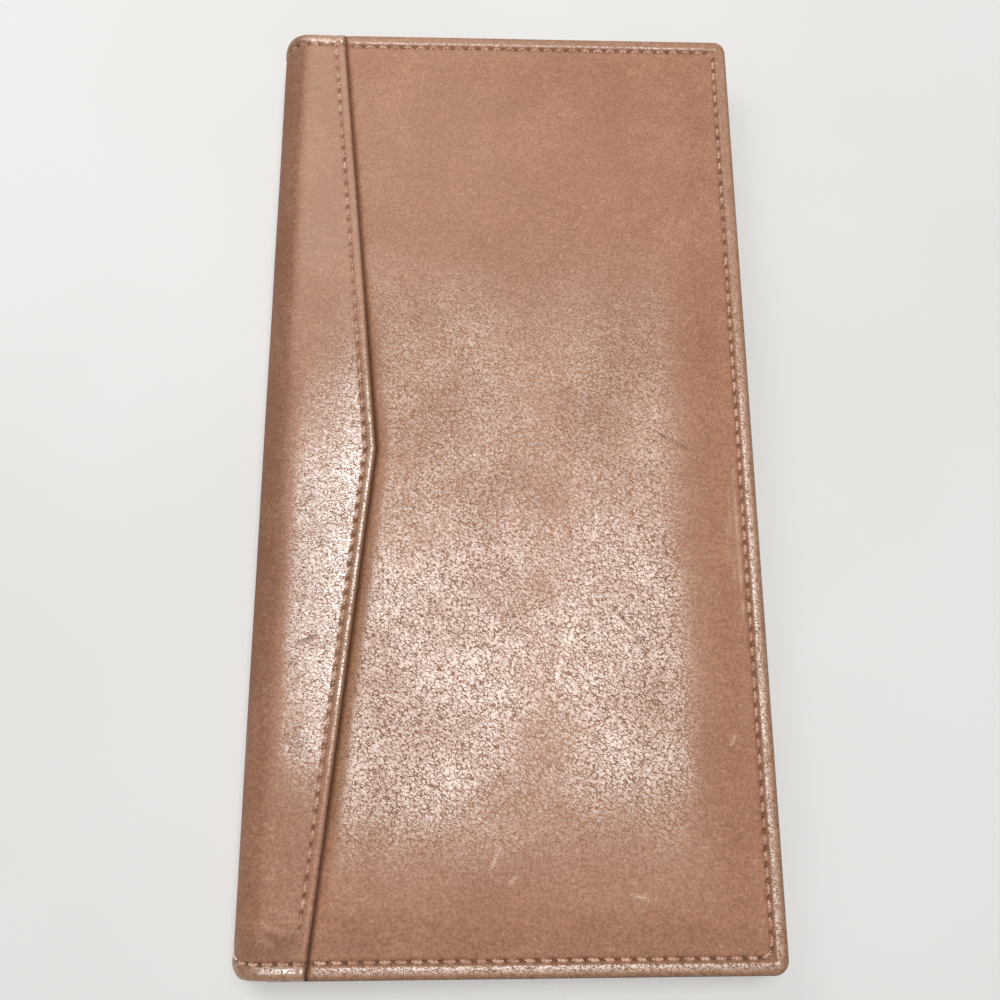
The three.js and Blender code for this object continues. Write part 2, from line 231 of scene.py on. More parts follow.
WRAP_FOLD_ROWS = [4.6, 4.0, 3.5, 3.1, 2.8, 2.55, 2.32, 2.1, 1.88, 1.65, 1.35, 1.0, 0.7, 0.42, 0.2, 0.06, 0]
POCKET_ROWS = [0.05, 0.2, 0.45, 0.9, 1.4, 1.9, 2.4, 2.9]
CARD_ROWS = [0.05, 0.18, 0.4, 0.9, 1.4, 1.9, 2.4]
FACE_GRID_INSET, HIDDEN_GRID_INSET = 5.7, 5.0
POCKET_GRID_INSET, CARD_GRID_INSET, LINING_GRID_INSET = 3.6, 3.0, 9.0
POCKET_UNDER_INSET, CARD_UNDER_INSET = 0.1, 0.08
SEEN_FROM_WRAP, HIDDEN_FROM_WRAP = 1.9, 3.0
FAR_INSIDE = 9.0
SEAM_POINTS, END_SEAM_POINTS = 400, 120
PATH_NUDGE = 0.05
SHARP_ANGLE = 50
HEXAGON_ROW = 0.866

# Wear of a cover's leather, and painted light and shade on it, from its edge and seam inwards
EDGE_WEAR = (0.28, 1.4, 1.3)
WIDE_WEAR = (0.08, 0.0, 5.0)
HOLE_SHADE = 0.8
SEAM_SHADE, SEAM_SHADE_WIDTH = 0.12, 0.4
RIM_SHADE = (0.45, 0.0, 0.6)
BESIDE_WRAP_SHADE = (0.75, UNDER_WRAP, 0.5)
LOW_SHADE, LOW_SHADE_RAMP = 0.09, (98.0, 8.0)
TOP_LIGHT, TOP_LIGHT_RAMP, FORE_DIMMING_RAMP = 0.14, (20.0, 60.0), (-20.0, 50.0)
MARK_BREAK_SIZE = 3.5
EDGE_BREAK_SIZE = 2.2

# Wear of the wrap, and painted light and shade on it: at its ends, along its fold and round its roll
END_WEAR = (0.35, 1.2, 1.2)
FOLD_WEAR = (0.25, 0.9, 0.6)
TIP_WEAR, ROLL_TIP_WEAR, TIP_WEAR_WIDTH = 0.2, 0.45, 6.0
ROLL_LENGTH = 11.0
ROLL_SHADE, ROLL_SHADE_RAMP, ROLL_SHADE_LENGTH = 0.3, (-1.5, 3.3), 90.0
FOLD_SHADE = (0.7, 0.0, 0.3)
WRAP_TOP_LIGHT, WRAP_TOP_LIGHT_RAMP = 0.24, (10.0, 50.0)
WRAP_BREAK_SIZE = 2.0
WRINKLED_SIZE = 30.0
WRINKLE_SPREAD = 6.0

# Wear of the pockets' edges and of the card slots' mouths
POCKET_WEAR = (0.5, 0.0, 0.6)
CARD_WEAR = (0.55, 0.0, 0.8)
WEAR_BREAK_SIZE = 3.0

# Marks on the front face and on its wrap: from, to, depth of the crease, and how light or dark it is
FRONT_MARKS = [
    ((29.3, 7.6), (42.5, -0.1), 0.08, -0.45),
    ((22.3, -35.2), (29.8, -44.2), 0.08, -0.45),
    ((-28.4, -36.1), (-19.1, -32.7), 0.08, -0.4),
    ((15.2, -37.0), (11.7, -49.8), 0.05, 0.75),
    ((12.9, -40.3), (9.6, -55.2), 0.05, 0.75),
    ((20.5, -13.8), (18.8, -22.1), 0.04, 0.6),
    ((-1.7, -85.7), (-4.3, -90.9), 0.04, 0.6),
    ((-0.5, -93.7), (1.4, -92.1), 0.03, 0.8),
    ((24.3, -95.9), (27.5, -96.4), 0.03, 0.8),
    ((47.5, -66.6), (49.0, -63.7), 0.03, 0.8),
    ((50.6, -8.0), (50.9, -34.0), 0.06, 0.3),
    ((49.6, -16.0), (49.9, -27.0), 0.05, 0.35),
    ((52.0, -4.0), (52.3, -40.0), 0.08, 0.45),
]
WRAP_MARKS = [
    ((-47.6, -44.4), (-41.6, -42.5), 0.08, -0.45),
    ((-49.5, -64.0), (-44.0, -66.6), 0.08, -0.2),
    ((-48.0, -62.6), (-42.8, -65.2), 0.06, -0.18),
    ((-47.2, -66.6), (-42.4, -69.2), 0.08, -0.2),
    ((-51.1, -100.6), (-46.1, -102.6), 0.05, 0.3),
    ((-51.8, -103.1), (-47.2, -105.2), 0.05, 0.3),
]
MARK_WIDTH = 0.35
MARK_STEP = 0.6
MARK_SHINE = 0.9
WRAP_MARK_WIDTH = 0.5

# Dark stain on the front's wrap, near its lower end: distance from the roll, y, half width, half length
STAIN_X, STAIN_Y, STAIN_WIDTH, STAIN_LENGTH = 3.5, -105.0, 5.0, 3.2
STAIN_SHADE, STAIN_BREAK_SIZE = 0.55, 3.0

# Gloss of a cover: full below its middle, half above it, weaker along a band and in a few dull spots
FULL_GLOSS_RAMP, HALF_GLOSS_RAMP = (-40.0, 32.0), (34.0, 24.0)
GLOSS_LOW_END, GLOSS_LOW_FADE, GLOSS_LOW_LEAN = -97.0, 28.0, 0.05
GLOSS_LEAN_X = -20.0
FORE_GLOSS_RAMP = (34.0, 9.0)
RIGHT_LOSS, RIGHT_LOSS_RAMP = 0.08, (-5.0, 20.0)
BAND_LOSS = (0.3, 7.0, 9.0)
LOW_BAND_LOSS, LOW_BAND_RAMP = (0.25, 7.0, 16.0), (52.0, 14.0)

# Each dull spot: x, y, radius, and how much gloss is gone
DULL_SPOTS = [
    (-18.7, -20.6, 3.2, 0.45),
    (6.9, -31.7, 3.5, 0.4),
    (11.9, -11.9, 5.0, 0.25),
    (-24.1, -4.0, 3.5, 0.35),
    (4.0, -68.0, 5.0, 0.3),
]

# Patches of more and less gloss, and the gloss of the rolled edge, which is stronger lower down
POLISH = 0.95
LARGE_PATCHES, SMALL_PATCHES = (0.2, 14.0), (0.25, 5.0)
EDGE_GLOSS, EDGE_GLOSS_FROM_SEAM, EDGE_GLOSS_FADE = 0.65, 0.2, 0.6
LOW_EDGE_GLOSS, LOW_EDGE_RAMP = 0.3, (-40.0, 80.0)

# Gloss of the wrap: ends that fade along it, a slanted upper end, and one rubbed spot
WRAP_GLOSS_TOP, WRAP_GLOSS_TOP_FADE, WRAP_GLOSS_SLANT = -12.0, 62.0, 1.9
WRAP_GLOSS_SLANT_X = -37.6
WRAP_GLOSS_LOW_RAMP = (-85.0, 48.0)
WRAP_GLOSS_ROLL_RAMP = (0.3, 3.5)
RUBBED_X, RUBBED_Y, RUBBED_GAIN = -43.5, -66.5, (0.45, 0.0, 3.5)

# Browns of the leathers: main, dark, light and worn; the worn brown also serves for painted light and
# painted glints
COVER_BROWNS = [(179, 127, 98), (160, 109, 83), (196, 145, 115), (220, 182, 158)]
WRAP_BROWNS = [(176, 126, 98), (156, 107, 82), (193, 143, 114), (220, 182, 158)]
POCKET_BROWNS = [(158, 110, 85), (140, 94, 71), (168, 120, 94), (196, 154, 130)]

# Leather's look: bumps per metre of its noises, the size of its grain in metres, and deeper browns
MOTTLE_SCALE = 60.0
PATCH_SCALE = 22.0
CLOUD_SCALE = 420.0
PORE_SCALE = 1500.0
PAINTED_GLINT_SCALE = 1100.0
WEAR_SCALE = 900.0
SHEEN_SCALE = 55.0
WRINKLE_SCALE, WRINKLE_RELIEF = 520.0, 0.00004
COVER_GRAIN, WRAP_GRAIN, POCKET_GRAIN = 0.00063, 0.00056, 0.0006
GRAIN_STRETCH = 1.6
PORE_BROWN = (124, 80, 58)
PAINTED_SHEEN_BROWN = (164, 117, 72)
GRAIN_BROWN = (120, 80, 59)
DEEPEST_BROWN = (58, 30, 20)
CREAM = (1.0, 0.96, 0.89, 1.0)
LEATHER_IOR = 1.4
WAX_ROUGHNESS = 0.26

# Looks of the thread, the cloth and the board: bumps per metre, and heights in metres
FIBRE_SCALE, FIBRE_RELIEF = 6000.0, 0.00003
THREAD_SHADE_SCALE = 260.0
WAVE_REPEAT = 0.314
WEAVE_RELIEF = 0.00012
CLOTH_SHADE_SCALE = 120.0
BOARD_SCALE, BOARD_RELIEF = 1500.0, 0.00005

# Camera of the photograph: its place, its turn from looking straight down, and its lens on its sensor
CAMERA_PLACE = (-8.0, -59.3, 213.2)
CAMERA_TURN = (13.36, -1.7, 0.21)
CAMERA_LENS = 32.4
CAMERA_SENSOR = 36.0

# Floor and light, in metres and watts
FLOOR_HALF = 3.0
FLOOR_SCALE = 6.0
FLOOR_DARK, FLOOR_PALE = (226, 225, 222), (232, 231, 229)
OVERHEAD_PLACE, OVERHEAD_TARGET = (0.07, 0.12, 1.5), (0.07, 0.12, 0.0)
OVERHEAD_SIZE, OVERHEAD_WATTS = (0.86, 1.15), 19.8
FILL_PLACE, FILL_TARGET = (-0.24, 0.33, 0.4), (0.0, 0.05, 0.014)
FILL_SIZE, FILL_WATTS = (0.25, 0.25), 0.55
ROOM_LIGHT = 0.15


# Small sums


def ease(t):
    """0 to 1 with soft ends."""
    t = np.clip(t, 0, 1)
    return t * t * (3 - 2 * t)


def bell(x, width):
    """A soft hump, 1 at 0 and nearly gone at twice its width."""
    return np.exp(-((x / width) ** 2))


def hump(x, shape):
    """A soft hump with a strength, a place and a width."""
    strength, place, width = shape
    return strength * bell(x - place, width)


def ramp(x, shape):
    """0 up to a start, then up to 1 along a length, with soft ends."""
    start, length = shape
    return ease((x - start) / length)


def plateau(x, width):
    """A hump like a bell's with a flat top."""
    return np.exp(-((x / width) ** 4))


def rolled(distance, width):
    """How far a rounded edge has dropped, 1 at the edge and 0 from width inwards."""
    t = 1 - np.clip(distance / width, 0, 1)
    return 1 - np.sqrt(np.clip(1 - t * t, 0, 1))


def waves(points, size, seed):
    """Smooth noise from about -1 to 1 at points, with bumps about size millimetres apart."""
    return np.array([noise.noise(Vector((p[0] / size, p[1] / size, seed))) for p in points])


def swell(points, shape, seed):
    """Smooth noise with a height and the size of its bumps."""
    height, size = shape
    return height * waves(points, size, seed)


def wrap_edge(y):
    """Where the wrap's pointed edge lies at a place along the spine."""
    drop = (WRAP_REACH_AT_POINT - WRAP_REACH_AT_ENDS) * np.abs(y) / (LENGTH / 2)
    return -WIDTH / 2 + WRAP_REACH_AT_POINT - drop


def edge_distance(points):
    """Distance in from a cover's outer edge, which is round at its two fore corners."""
    over_x = points[:, 0] - (WIDTH / 2 - CORNER_RADIUS)
    over_y = np.abs(points[:, 1]) - (LENGTH / 2 - CORNER_RADIUS)
    outside = np.hypot(np.maximum(over_x, 0), np.maximum(over_y, 0))
    return CORNER_RADIUS - outside - np.minimum(np.maximum(over_x, over_y), 0)


def nearest(points, targets):
    """Distance from each point to the nearest target."""
    tree = KDTree(len(targets))
    for i, p in enumerate(targets):
        tree.insert((p[0], p[1], 0), i)
    tree.balance()
    return np.array([tree.find((p[0], p[1], 0))[2] for p in points])


# Lines and outlines


def run(start, end, count):
    """Points from start to just before end, in count even steps."""
    start, end = np.array(start, float), np.array(end, float)
    return start + (end - start) * (np.arange(count) / count)[:, None]


def quarter(centre, radius, start):
    """The points of a quarter circle, without its last one."""
    angle = start + np.arange(CORNER_STEPS) / CORNER_STEPS * math.pi / 2
    return np.array(centre) + radius * np.stack([np.cos(angle), np.sin(angle)], 1)


def fore_run(inset, left, least_radius=LEAST_RADIUS):
    """A cover's three outer sides drawn in by inset, from the spine round both fore corners and back."""
    radius = max(CORNER_RADIUS - inset, least_radius)
    right, top = WIDTH / 2 - inset, LENGTH / 2 - inset
    return np.concatenate(
        [
            run((left, -top), (right - radius, -top), SHORT_STEPS),
            quarter((right - radius, -top + radius), radius, -math.pi / 2),
            run((right, -top + radius), (right, top - radius), LONG_STEPS),
            quarter((right - radius, top - radius), radius, 0),
            run((right - radius, top), (left, top), SHORT_STEPS),
        ]
    )


def cover_loop(inset, left):
    """A cover's outline drawn in by inset, with its spine edge at left, always with as many points."""
    top = LENGTH / 2 - inset
    spine = run((left, top), (left, -top), SPINE_STEPS)
    return np.concatenate([fore_run(inset, left), spine])


def pocket_loop(left, right, bottom, top_left, top_right, inset):
    """A sewn-on pocket's outline drawn in by inset: rounded lower corners and a straight mouth."""
    radius = max(OVERLAY_CORNER_RADIUS - inset, LEAST_RADIUS)
    spans = (top_left - bottom, right - left, top_right - bottom)
    down, over, up = (round(span / POCKET_STEP) for span in spans)
    left, right, bottom = left + inset, right - inset, bottom + inset
    top_left, top_right = top_left - inset, top_right - inset
    return np.concatenate(
        [
            run((left, top_left), (left, bottom + radius), down),
            quarter((left + radius, bottom + radius), radius, math.pi),
            run((left + radius, bottom), (right - radius, bottom), over),
            quarter((right - radius, bottom + radius), radius, -math.pi / 2),
            run((right, bottom + radius), (right, top_right), up),
            run((right, top_right), (left, top_left), over),
        ]
    )


def hexagonal(low, high, step):
    """Evenly spread points in a rectangle."""
    rows = []
    for k, y in enumerate(np.arange(low[1], high[1], step * HEXAGON_ROW)):
        x = np.arange(low[0] + (k % 2) * step / 2, high[0], step)
        rows.append(np.stack([x, np.full(len(x), y)], 1))
    return np.concatenate(rows)


def along(path, distances):
    """Points at distances along a path, and its direction there."""
    steps = np.linalg.norm(np.diff(path, axis=0), axis=1)
    reach = np.concatenate([[0], np.cumsum(steps)])
    at = np.stack([np.interp(distances, reach, path[:, k]) for k in range(2)], 1)
    ahead = np.stack([np.interp(distances + PATH_NUDGE, reach, path[:, k]) for k in range(2)], 1)
    behind = np.stack([np.interp(distances - PATH_NUDGE, reach, path[:, k]) for k in range(2)], 1)
    direction = ahead - behind
    return at, direction / np.linalg.norm(direction, axis=1)[:, None]


def path_length(path):
    """The length of a path of straight steps."""
    return np.linalg.norm(np.diff(path, axis=0), axis=1).sum()


def stitch_ends(path):
    """Where the stitches along a path start and end, and their directions."""
    length = path_length(path)
    count = max(1, round(length / STITCH_PITCH))
    starts = np.arange(count) * length / count
    first, direction = along(path, starts + STITCH_GAP)
    last, _ = along(path, starts + length / count - STITCH_GAP)
    return first, last, direction


def holes_of(*paths):
    """The places where stitches go into the leather."""
    return np.concatenate([np.concatenate(stitch_ends(path)[:2]) for path in paths])


# Meshes


def add_piece(name, points, faces, material, **readings):
    """A smooth mesh object from points in millimetres, with readings for its first points, such as wear."""
    mesh = bpy.data.meshes.new(name)
    mesh.from_pydata((np.asarray(points) * MM).tolist(), [], faces)
    for label, values in readings.items():
        attribute = mesh.attributes.new(label, "FLOAT", "POINT")
        every = np.zeros(len(points), np.float32)
        every[: len(values)] = np.clip(values, -1, 1)
        attribute.data.foreach_set("value", every)
    mesh.polygons.foreach_set("use_smooth", [True] * len(mesh.polygons))
    mesh.set_sharp_from_angle(angle=math.radians(SHARP_ANGLE))
    mesh.materials.append(material)
    piece = bpy.data.objects.new(name, mesh)
    bpy.context.scene.collection.objects.link(piece)
    return piece


def closed_plate(outline, inner, height, rings):
    """Points and faces of a plate: a face through an outline and inner points, then rings to its back."""
    flat = np.concatenate([outline, inner])
    count = len(outline)
    made = delaunay_2d_cdt([Vector(p) for p in flat], [], [list(range(count))], 1, 1e-6)
    source = [ids[0] for ids in made[3]]
    faces = [[source[v] for v in face] for face in made[2]]
    levels = [np.column_stack([flat, height])]
    levels += [np.column_stack([ring, np.broadcast_to(h, count)]) for ring, h in rings]
    starts = [0] + [len(flat) + k * count for k in range(len(rings))]
    for upper, lower in zip(starts, starts[1:]):
        for i in range(count):
            j = (i + 1) % count
            faces.append([upper + j, upper + i, lower + i, lower + j])
    faces.append([starts[-1] + i for i in reversed(range(count))])
    return np.concatenate(levels), faces


def placed(points, faces, sign, offset):
    """Local points moved to the object's frame, with h along or against +Z."""
    moved = np.array(points)
    moved[:, 2] = sign * moved[:, 2] + offset
    return moved, faces if sign > 0 else [face[::-1] for face in faces]


OUTSIDE = {"front": (1, THICKNESS), "back": (-1, 0.0)}
INSIDE = {"front": (-1, THICKNESS), "back": (1, 0.0)}


def twisted_stitches(paths, crown, seed):
    """Local points and faces of the stitches along paths, as pairs of twisted plies."""
    dice = np.random.default_rng(seed)
    points, faces = [], []
    t = np.linspace(0, 1, PLY_RINGS)
    arch = np.sin(math.pi * np.clip(t, 0.02, 0.98)) ** 0.6
    turn = np.linspace(0, 2 * math.pi, PLY_SIDES, endpoint=False)
    for path in paths:
        for first, last, direction in zip(*stitch_ends(path)):
            side = np.array([-direction[1], direction[0]])
            lean = STITCH_LEAN * dice.uniform(0.6, 1.4)
            first, last = first + side * lean, last - side * lean
            centre = first + (last - first) * t[:, None]
            height = crown - STITCH_DIVE * (1 - arch) + dice.uniform(-STITCH_UNEVENNESS, STITCH_UNEVENNESS)
            phase = dice.uniform(0, math.pi)
            for ply in (0, math.pi):
                angle = phase + ply + 2 * math.pi * PLY_TURNS * t
                across = PLY_RADIUS * (np.cos(angle)[:, None] + np.cos(turn))
                up = height[:, None] + PLY_RADIUS * (np.sin(angle)[:, None] + np.sin(turn))
                ring = centre[:, None, :] + across[..., None] * side
                start = len(points) * PLY_RINGS * PLY_SIDES
                points.append(np.concatenate([ring, up[..., None]], 2).reshape(-1, 3))
                faces += tube_faces(start)
    return np.concatenate(points), faces


def tube_faces(start):
    """The faces of one ply, closed at both ends."""
    faces = [[start + k for k in range(PLY_SIDES)]]
    for ring in range(PLY_RINGS - 1):
        low = start + ring * PLY_SIDES
        for k in range(PLY_SIDES):
            m = (k + 1) % PLY_SIDES
            faces.append([low + m, low + k, low + PLY_SIDES + k, low + PLY_SIDES + m])
    end = start + (PLY_RINGS - 1) * PLY_SIDES
    faces.append([end + k for k in reversed(range(PLY_SIDES))])
    return faces


# Materials


def srgb(*values):
    """A colour written as it shows, from 0 to 255, for a shader."""
    return tuple(((v / 255 + 0.055) / 1.055) ** 2.4 for v in values) + (1.0,)


class Nodes:
    """Adds nodes to one material and joins them."""

    def __init__(self, name):
        self.material = bpy.data.materials.new(name)
        self.material.use_nodes = True
        self.tree = self.material.node_tree
        self.shader = self.tree.nodes["Principled BSDF"]

    def add(self, kind, inputs=(), **settings):
        node = self.tree.nodes.new(kind)
        for key, value in settings.items():
            setattr(node, key, value)
        for key, value in dict(inputs).items():
            self.set(node.inputs[key], value)
        return node

    def set(self, socket, value):
        if isinstance(value, bpy.types.NodeSocket):
            self.tree.links.new(value, socket)
        else:
            socket.default_value = value

    def place(self):
        return self.add("ShaderNodeTexCoord").outputs["Object"]

    def speckle(self, place, scale, detail=3.0):
        inputs = {"Vector": place, "Scale": scale, "Detail": detail}
        return self.add("ShaderNodeTexNoise", inputs).outputs["Fac"]

    def spread(self, value, low, high, to_low=0.0, to_high=1.0):
        inputs = {"Value": value, "From Min": low, "From Max": high, "To Min": to_low, "To Max": to_high}
        return self.add("ShaderNodeMapRange", inputs, interpolation_type="SMOOTHSTEP").outputs["Result"]

    def sum(self, operation, a, b):
        node = self.add("ShaderNodeMath", operation=operation)
        self.set(node.inputs[0], a)
        self.set(node.inputs[1], b)
        return node.outputs["Value"]

    def vector_sum(self, operation, a, b):
        node = self.add("ShaderNodeVectorMath", operation=operation)
        self.set(node.inputs[0], a)
        self.set(node.inputs[1], b)
        return node.outputs["Vector"]

    def mix(self, factor, a, b):
        node = self.add("ShaderNodeMix", data_type="RGBA")
        self.set(node.inputs["Factor"], factor)
        self.set(node.inputs["A"], a)
        self.set(node.inputs["B"], b)
        return node.outputs["Result"]

    def bump(self, height, distance, normal=None):
        inputs = {"Height": height, "Distance": distance, "Strength": 1.0}
        if normal is not None:
            inputs["Normal"] = normal
        return self.add("ShaderNodeBump", inputs).outputs["Normal"]

    def reading(self, label):
        return self.add("ShaderNodeAttribute", attribute_name=label).outputs["Fac"]

    def finish(self, **sockets):
        for key, value in sockets.items():
            self.set(self.shader.inputs[key.replace("_", " ")], value)
        return self.material


def leather(name, browns, grain, lean, wax_ior, relief):
    """Leather with a pressed grain of thin dark lines, wear at its edges, wax where it is burnished, and
    painted light, shade and glints in its colour.
    """
    colour, dark, light, worn_and_painted_light = (srgb(*brown) for brown in browns)
    n = Nodes(name)
    place = n.place()
    burnish = n.reading("burnish")
    combed = {"Vector": place, "Rotation": (0.0, 0.0, lean), "Scale": (GRAIN_STRETCH, 1.0, 1.0)}
    combed = n.add("ShaderNodeMapping", combed, vector_type="TEXTURE").outputs["Vector"]
    warp = n.add("ShaderNodeTexNoise", {"Vector": combed, "Scale": 1.0 / grain, "Detail": 2.0})
    warp = n.vector_sum("MULTIPLY", warp.outputs["Color"], (grain * 1.5,) * 3)
    bent = n.vector_sum("ADD", combed, warp)
    cells = n.add("ShaderNodeTexVoronoi", {"Vector": bent, "Scale": 1 / grain}, feature="DISTANCE_TO_EDGE")
    broken = n.spread(n.speckle(combed, 1.1 / grain, 0.0), 0.28, 0.46)
    lines = n.sum("MULTIPLY", n.spread(cells.outputs["Distance"], 0.02, 0.115, 1.0, 0.0), broken)
    mottle = n.speckle(place, MOTTLE_SCALE, 6.0)
    patches = n.speckle(place, PATCH_SCALE, 3.0)
    clouds = n.speckle(place, CLOUD_SCALE, 4.0)
    pores = n.speckle(place, PORE_SCALE, 3.0)
    sheen = n.speckle(place, SHEEN_SCALE, 5.0)

    base = n.mix(n.spread(mottle, 0.2, 0.8), dark, light)
    base = n.mix(n.spread(patches, 0.35, 0.65, 0.25, 0.75), base, colour)
    base = n.mix(n.spread(clouds, 0.35, 0.65, 0.45, 0.0), base, dark)
    base = n.mix(n.spread(pores, 0.36, 0.6, 0.45, 0.0), base, srgb(*PORE_BROWN))
    # Painted warm tint of the sheen: where burnished, the base turns towards a warmer brown
    base = n.mix(n.spread(burnish, 0.1, 1.0, 0.0, 0.45), base, srgb(*PAINTED_SHEEN_BROWN))
    # Painted glints: small pale flecks of the worn brown
    base = n.mix(n.spread(n.speckle(place, PAINTED_GLINT_SCALE, 3.0), 0.58, 0.74, 0.0, 0.3), base, worn_and_painted_light)
    # The grain's lines are darker where it is burnished: partly the grain's own colour, partly painted
    # shade in its valleys
    deep = n.spread(burnish, 0.2, 0.9, 0.1, 0.88)
    base = n.mix(n.sum("MULTIPLY", lines, deep), base, srgb(*GRAIN_BROWN))
    wear = n.reading("wear")
    flecks = n.spread(n.speckle(place, WEAR_SCALE, 2.0), 0.42, 0.6)
    base = n.mix(n.sum("MULTIPLY", wear, n.sum("ADD", n.sum("MULTIPLY", flecks, 0.6), 0.3)), base, worn_and_painted_light)
    # The reading paints light and shade into the colour, with stains and marks: above 0 it turns towards
    # the worn brown as painted light, below 0 towards the deepest brown as painted shade and stain
    tone = n.reading("tone")
    base = n.mix(n.sum("MAXIMUM", tone, 0.0), base, worn_and_painted_light)
    shade = n.sum("MAXIMUM", n.sum("MULTIPLY", tone, -1.0), 0.0)
    base = n.mix(shade, base, srgb(*DEEPEST_BROWN))
    rough = n.sum("ADD", n.spread(sheen, 0.36, 0.6, 0.5, 0.38), n.sum("MULTIPLY", lines, 0.15))
    rough = n.sum("ADD", rough, n.sum("MULTIPLY", shade, 0.6))

    glint = n.sum("SUBTRACT", n.speckle(combed, 1.3 / grain, 1.0), 0.5)
    glint = n.sum("MULTIPLY", glint, n.spread(burnish, 0.0, 1.0, 4.0, 2.0))
    wax = n.sum("MULTIPLY", burnish, n.sum("ADD", glint, 0.96))
    wax = n.sum("MULTIPLY", wax, n.spread(sheen, 0.36, 0.6, 0.7, 1.0))
    wax = n.sum("MULTIPLY", wax, n.spread(lines, 0.0, 0.8, 1.0, 0.0))
    wax = n.sum("MULTIPLY", wax, n.spread(shade, 0.0, 0.6, 1.0, 0.0))
    wax = n.sum("MAXIMUM", n.sum("MINIMUM", wax, 1.0), 0.0)
    turned = {"Vector": place, "Rotation": (0, 0, 0.6), "Scale": (1.0, 0.22, 1.0)}
    turned = n.add("ShaderNodeMapping", turned).outputs["Vector"]
    wrinkles = n.speckle(turned, WRINKLE_SCALE, 2.0)
    wrinkles = n.sum("MULTIPLY", wrinkles, n.spread(mottle, 0.4, 0.65))
    normal = n.bump(wrinkles, WRINKLE_RELIEF)
    normal = n.bump(n.sum("MULTIPLY", lines, -1.0), relief, normal)
    return n.finish(
        Base_Color=base,
        Roughness=rough,
        Normal=normal,
        IOR=LEATHER_IOR,
        Specular_Tint=CREAM,
        Coat_Weight=wax,
        Coat_Roughness=WAX_ROUGHNESS,
        Coat_IOR=wax_ior,
        Coat_Normal=normal,
    )


def thread(name, colour, dark):
    """Waxed thread with fine fibres."""
    n = Nodes(name)
    place = n.place()
    fibres = n.speckle(place, FIBRE_SCALE, 2.0)
    base = n.mix(n.spread(n.speckle(place, THREAD_SHADE_SCALE), 0.35, 0.65), dark, colour)
    normal = n.bump(fibres, FIBRE_RELIEF)
    rough = n.spread(fibres, 0.3, 0.7, 0.45, 0.7)
    return n.finish(Base_Color=base, Roughness=rough, Normal=normal)


def woven(name, colour, dark, pitch):
    """Plain woven cloth: raised yarns across each other."""
    n = Nodes(name)
    place = n.place()
    yarns = []
    for axis in ("X", "Y"):
        inputs = {"Vector": place, "Scale": WAVE_REPEAT / pitch}
        inputs |= {"Distortion": 0.4, "Detail": 1.0, "Detail Scale": 2.0}
        wave = n.add("ShaderNodeTexWave", inputs, wave_type="BANDS", bands_direction=axis)
        yarns.append(wave.outputs["Fac"])
    weave = n.sum("MULTIPLY", yarns[0], yarns[1])
    base = n.mix(n.spread(weave, 0.0, 0.7), dark, colour)
    base = n.mix(n.spread(n.speckle(place, CLOTH_SHADE_SCALE), 0.4, 0.7, 0.0, 0.35), base, dark)
    normal = n.bump(weave, WEAVE_RELIEF)
    rough = n.spread(weave, 0.0, 1.0, 0.95, 0.75)
    return n.finish(Base_Color=base, Roughness=rough, Normal=normal, Sheen_Weight=0.15)


def pressed_board(name, colour, dark):
    """Grey-brown board with fine fibres."""
    n = Nodes(name)
    place = n.place()
    fibres = n.speckle(place, BOARD_SCALE, 6.0)
    base = n.mix(n.spread(fibres, 0.35, 0.65), dark, colour)
    rough = n.spread(fibres, 0.3, 0.7, 0.8, 0.95)
    return n.finish(Base_Color=base, Roughness=rough, Normal=n.bump(fibres, BOARD_RELIEF))


COVER_LEATHER = leather(
    "cover_leather", COVER_BROWNS, COVER_GRAIN, lean=-0.54, wax_ior=2.02, relief=0.000012
)
WRAP_LEATHER = leather(
    "wrap_leather", WRAP_BROWNS, WRAP_GRAIN, lean=-0.15, wax_ior=2.5, relief=0.000008
)
POCKET_LEATHER = leather(
    "pocket_leather", POCKET_BROWNS, POCKET_GRAIN, lean=0.3, wax_ior=1.5, relief=0.00001
)
THREAD = thread("waxed_thread", srgb(226, 190, 168), srgb(192, 148, 124))
LINING_CLOTH = woven("lining_cloth", srgb(104, 78, 60), srgb(62, 45, 35), 0.0005)
BOARD = pressed_board("pressed_board", srgb(184, 164, 137), srgb(150, 130, 104))


# Seams


def panel_seam():
    """The edge seam on the padded face, from the wrap's lower end to its upper end."""
    start = wrap_edge(LENGTH / 2 - SEAM_INSET) + SEAM_FROM_WRAP
    return fore_run(SEAM_INSET, start, SEAM_CORNER_RADIUS)


def wrap_seam():
    """The seam along the wrap's pointed edge, from near its lower end to the edge seam at its top."""
    y = np.linspace(-WRAP_SEAM_END, LENGTH / 2 - SEAM_INSET - WRAP_SEAM_BELOW_EDGE_SEAM, SEAM_POINTS)
    return np.stack([wrap_edge(y) - WRAP_SEAM_INSET - SPINE_X, y], 1)


def head_end(s):
    """How far the end of the wrap is drawn in at a place round the roll, which rounds the closed corner."""
    x = -SPINE_RADIUS * np.sin(np.clip(-s / SPINE_RADIUS, 0, math.pi / 2))
    into = np.clip((HEAD_RADIUS - SPINE_RADIUS - x) / HEAD_RADIUS, 0, 1)
    return HEAD_RADIUS * (1 - np.sqrt(1 - into**2 + (HEAD_SOFTNESS * into) ** 2))


def end_seam(end):
    """The edge seam over one end of the wrap, from the middle of the roll to the wrap's pointed edge."""
    y = LENGTH / 2 - SEAM_INSET
    first = -SPINE_RADIUS * math.pi / 2 + END_SEAM_FROM_MIDDLE
    s = np.linspace(first, wrap_edge(y) - SPINE_X - END_SEAM_FROM_FOLD, END_SEAM_POINTS)
    return np.stack([s, end * (y - head_end(s))], 1)


# Padded covers


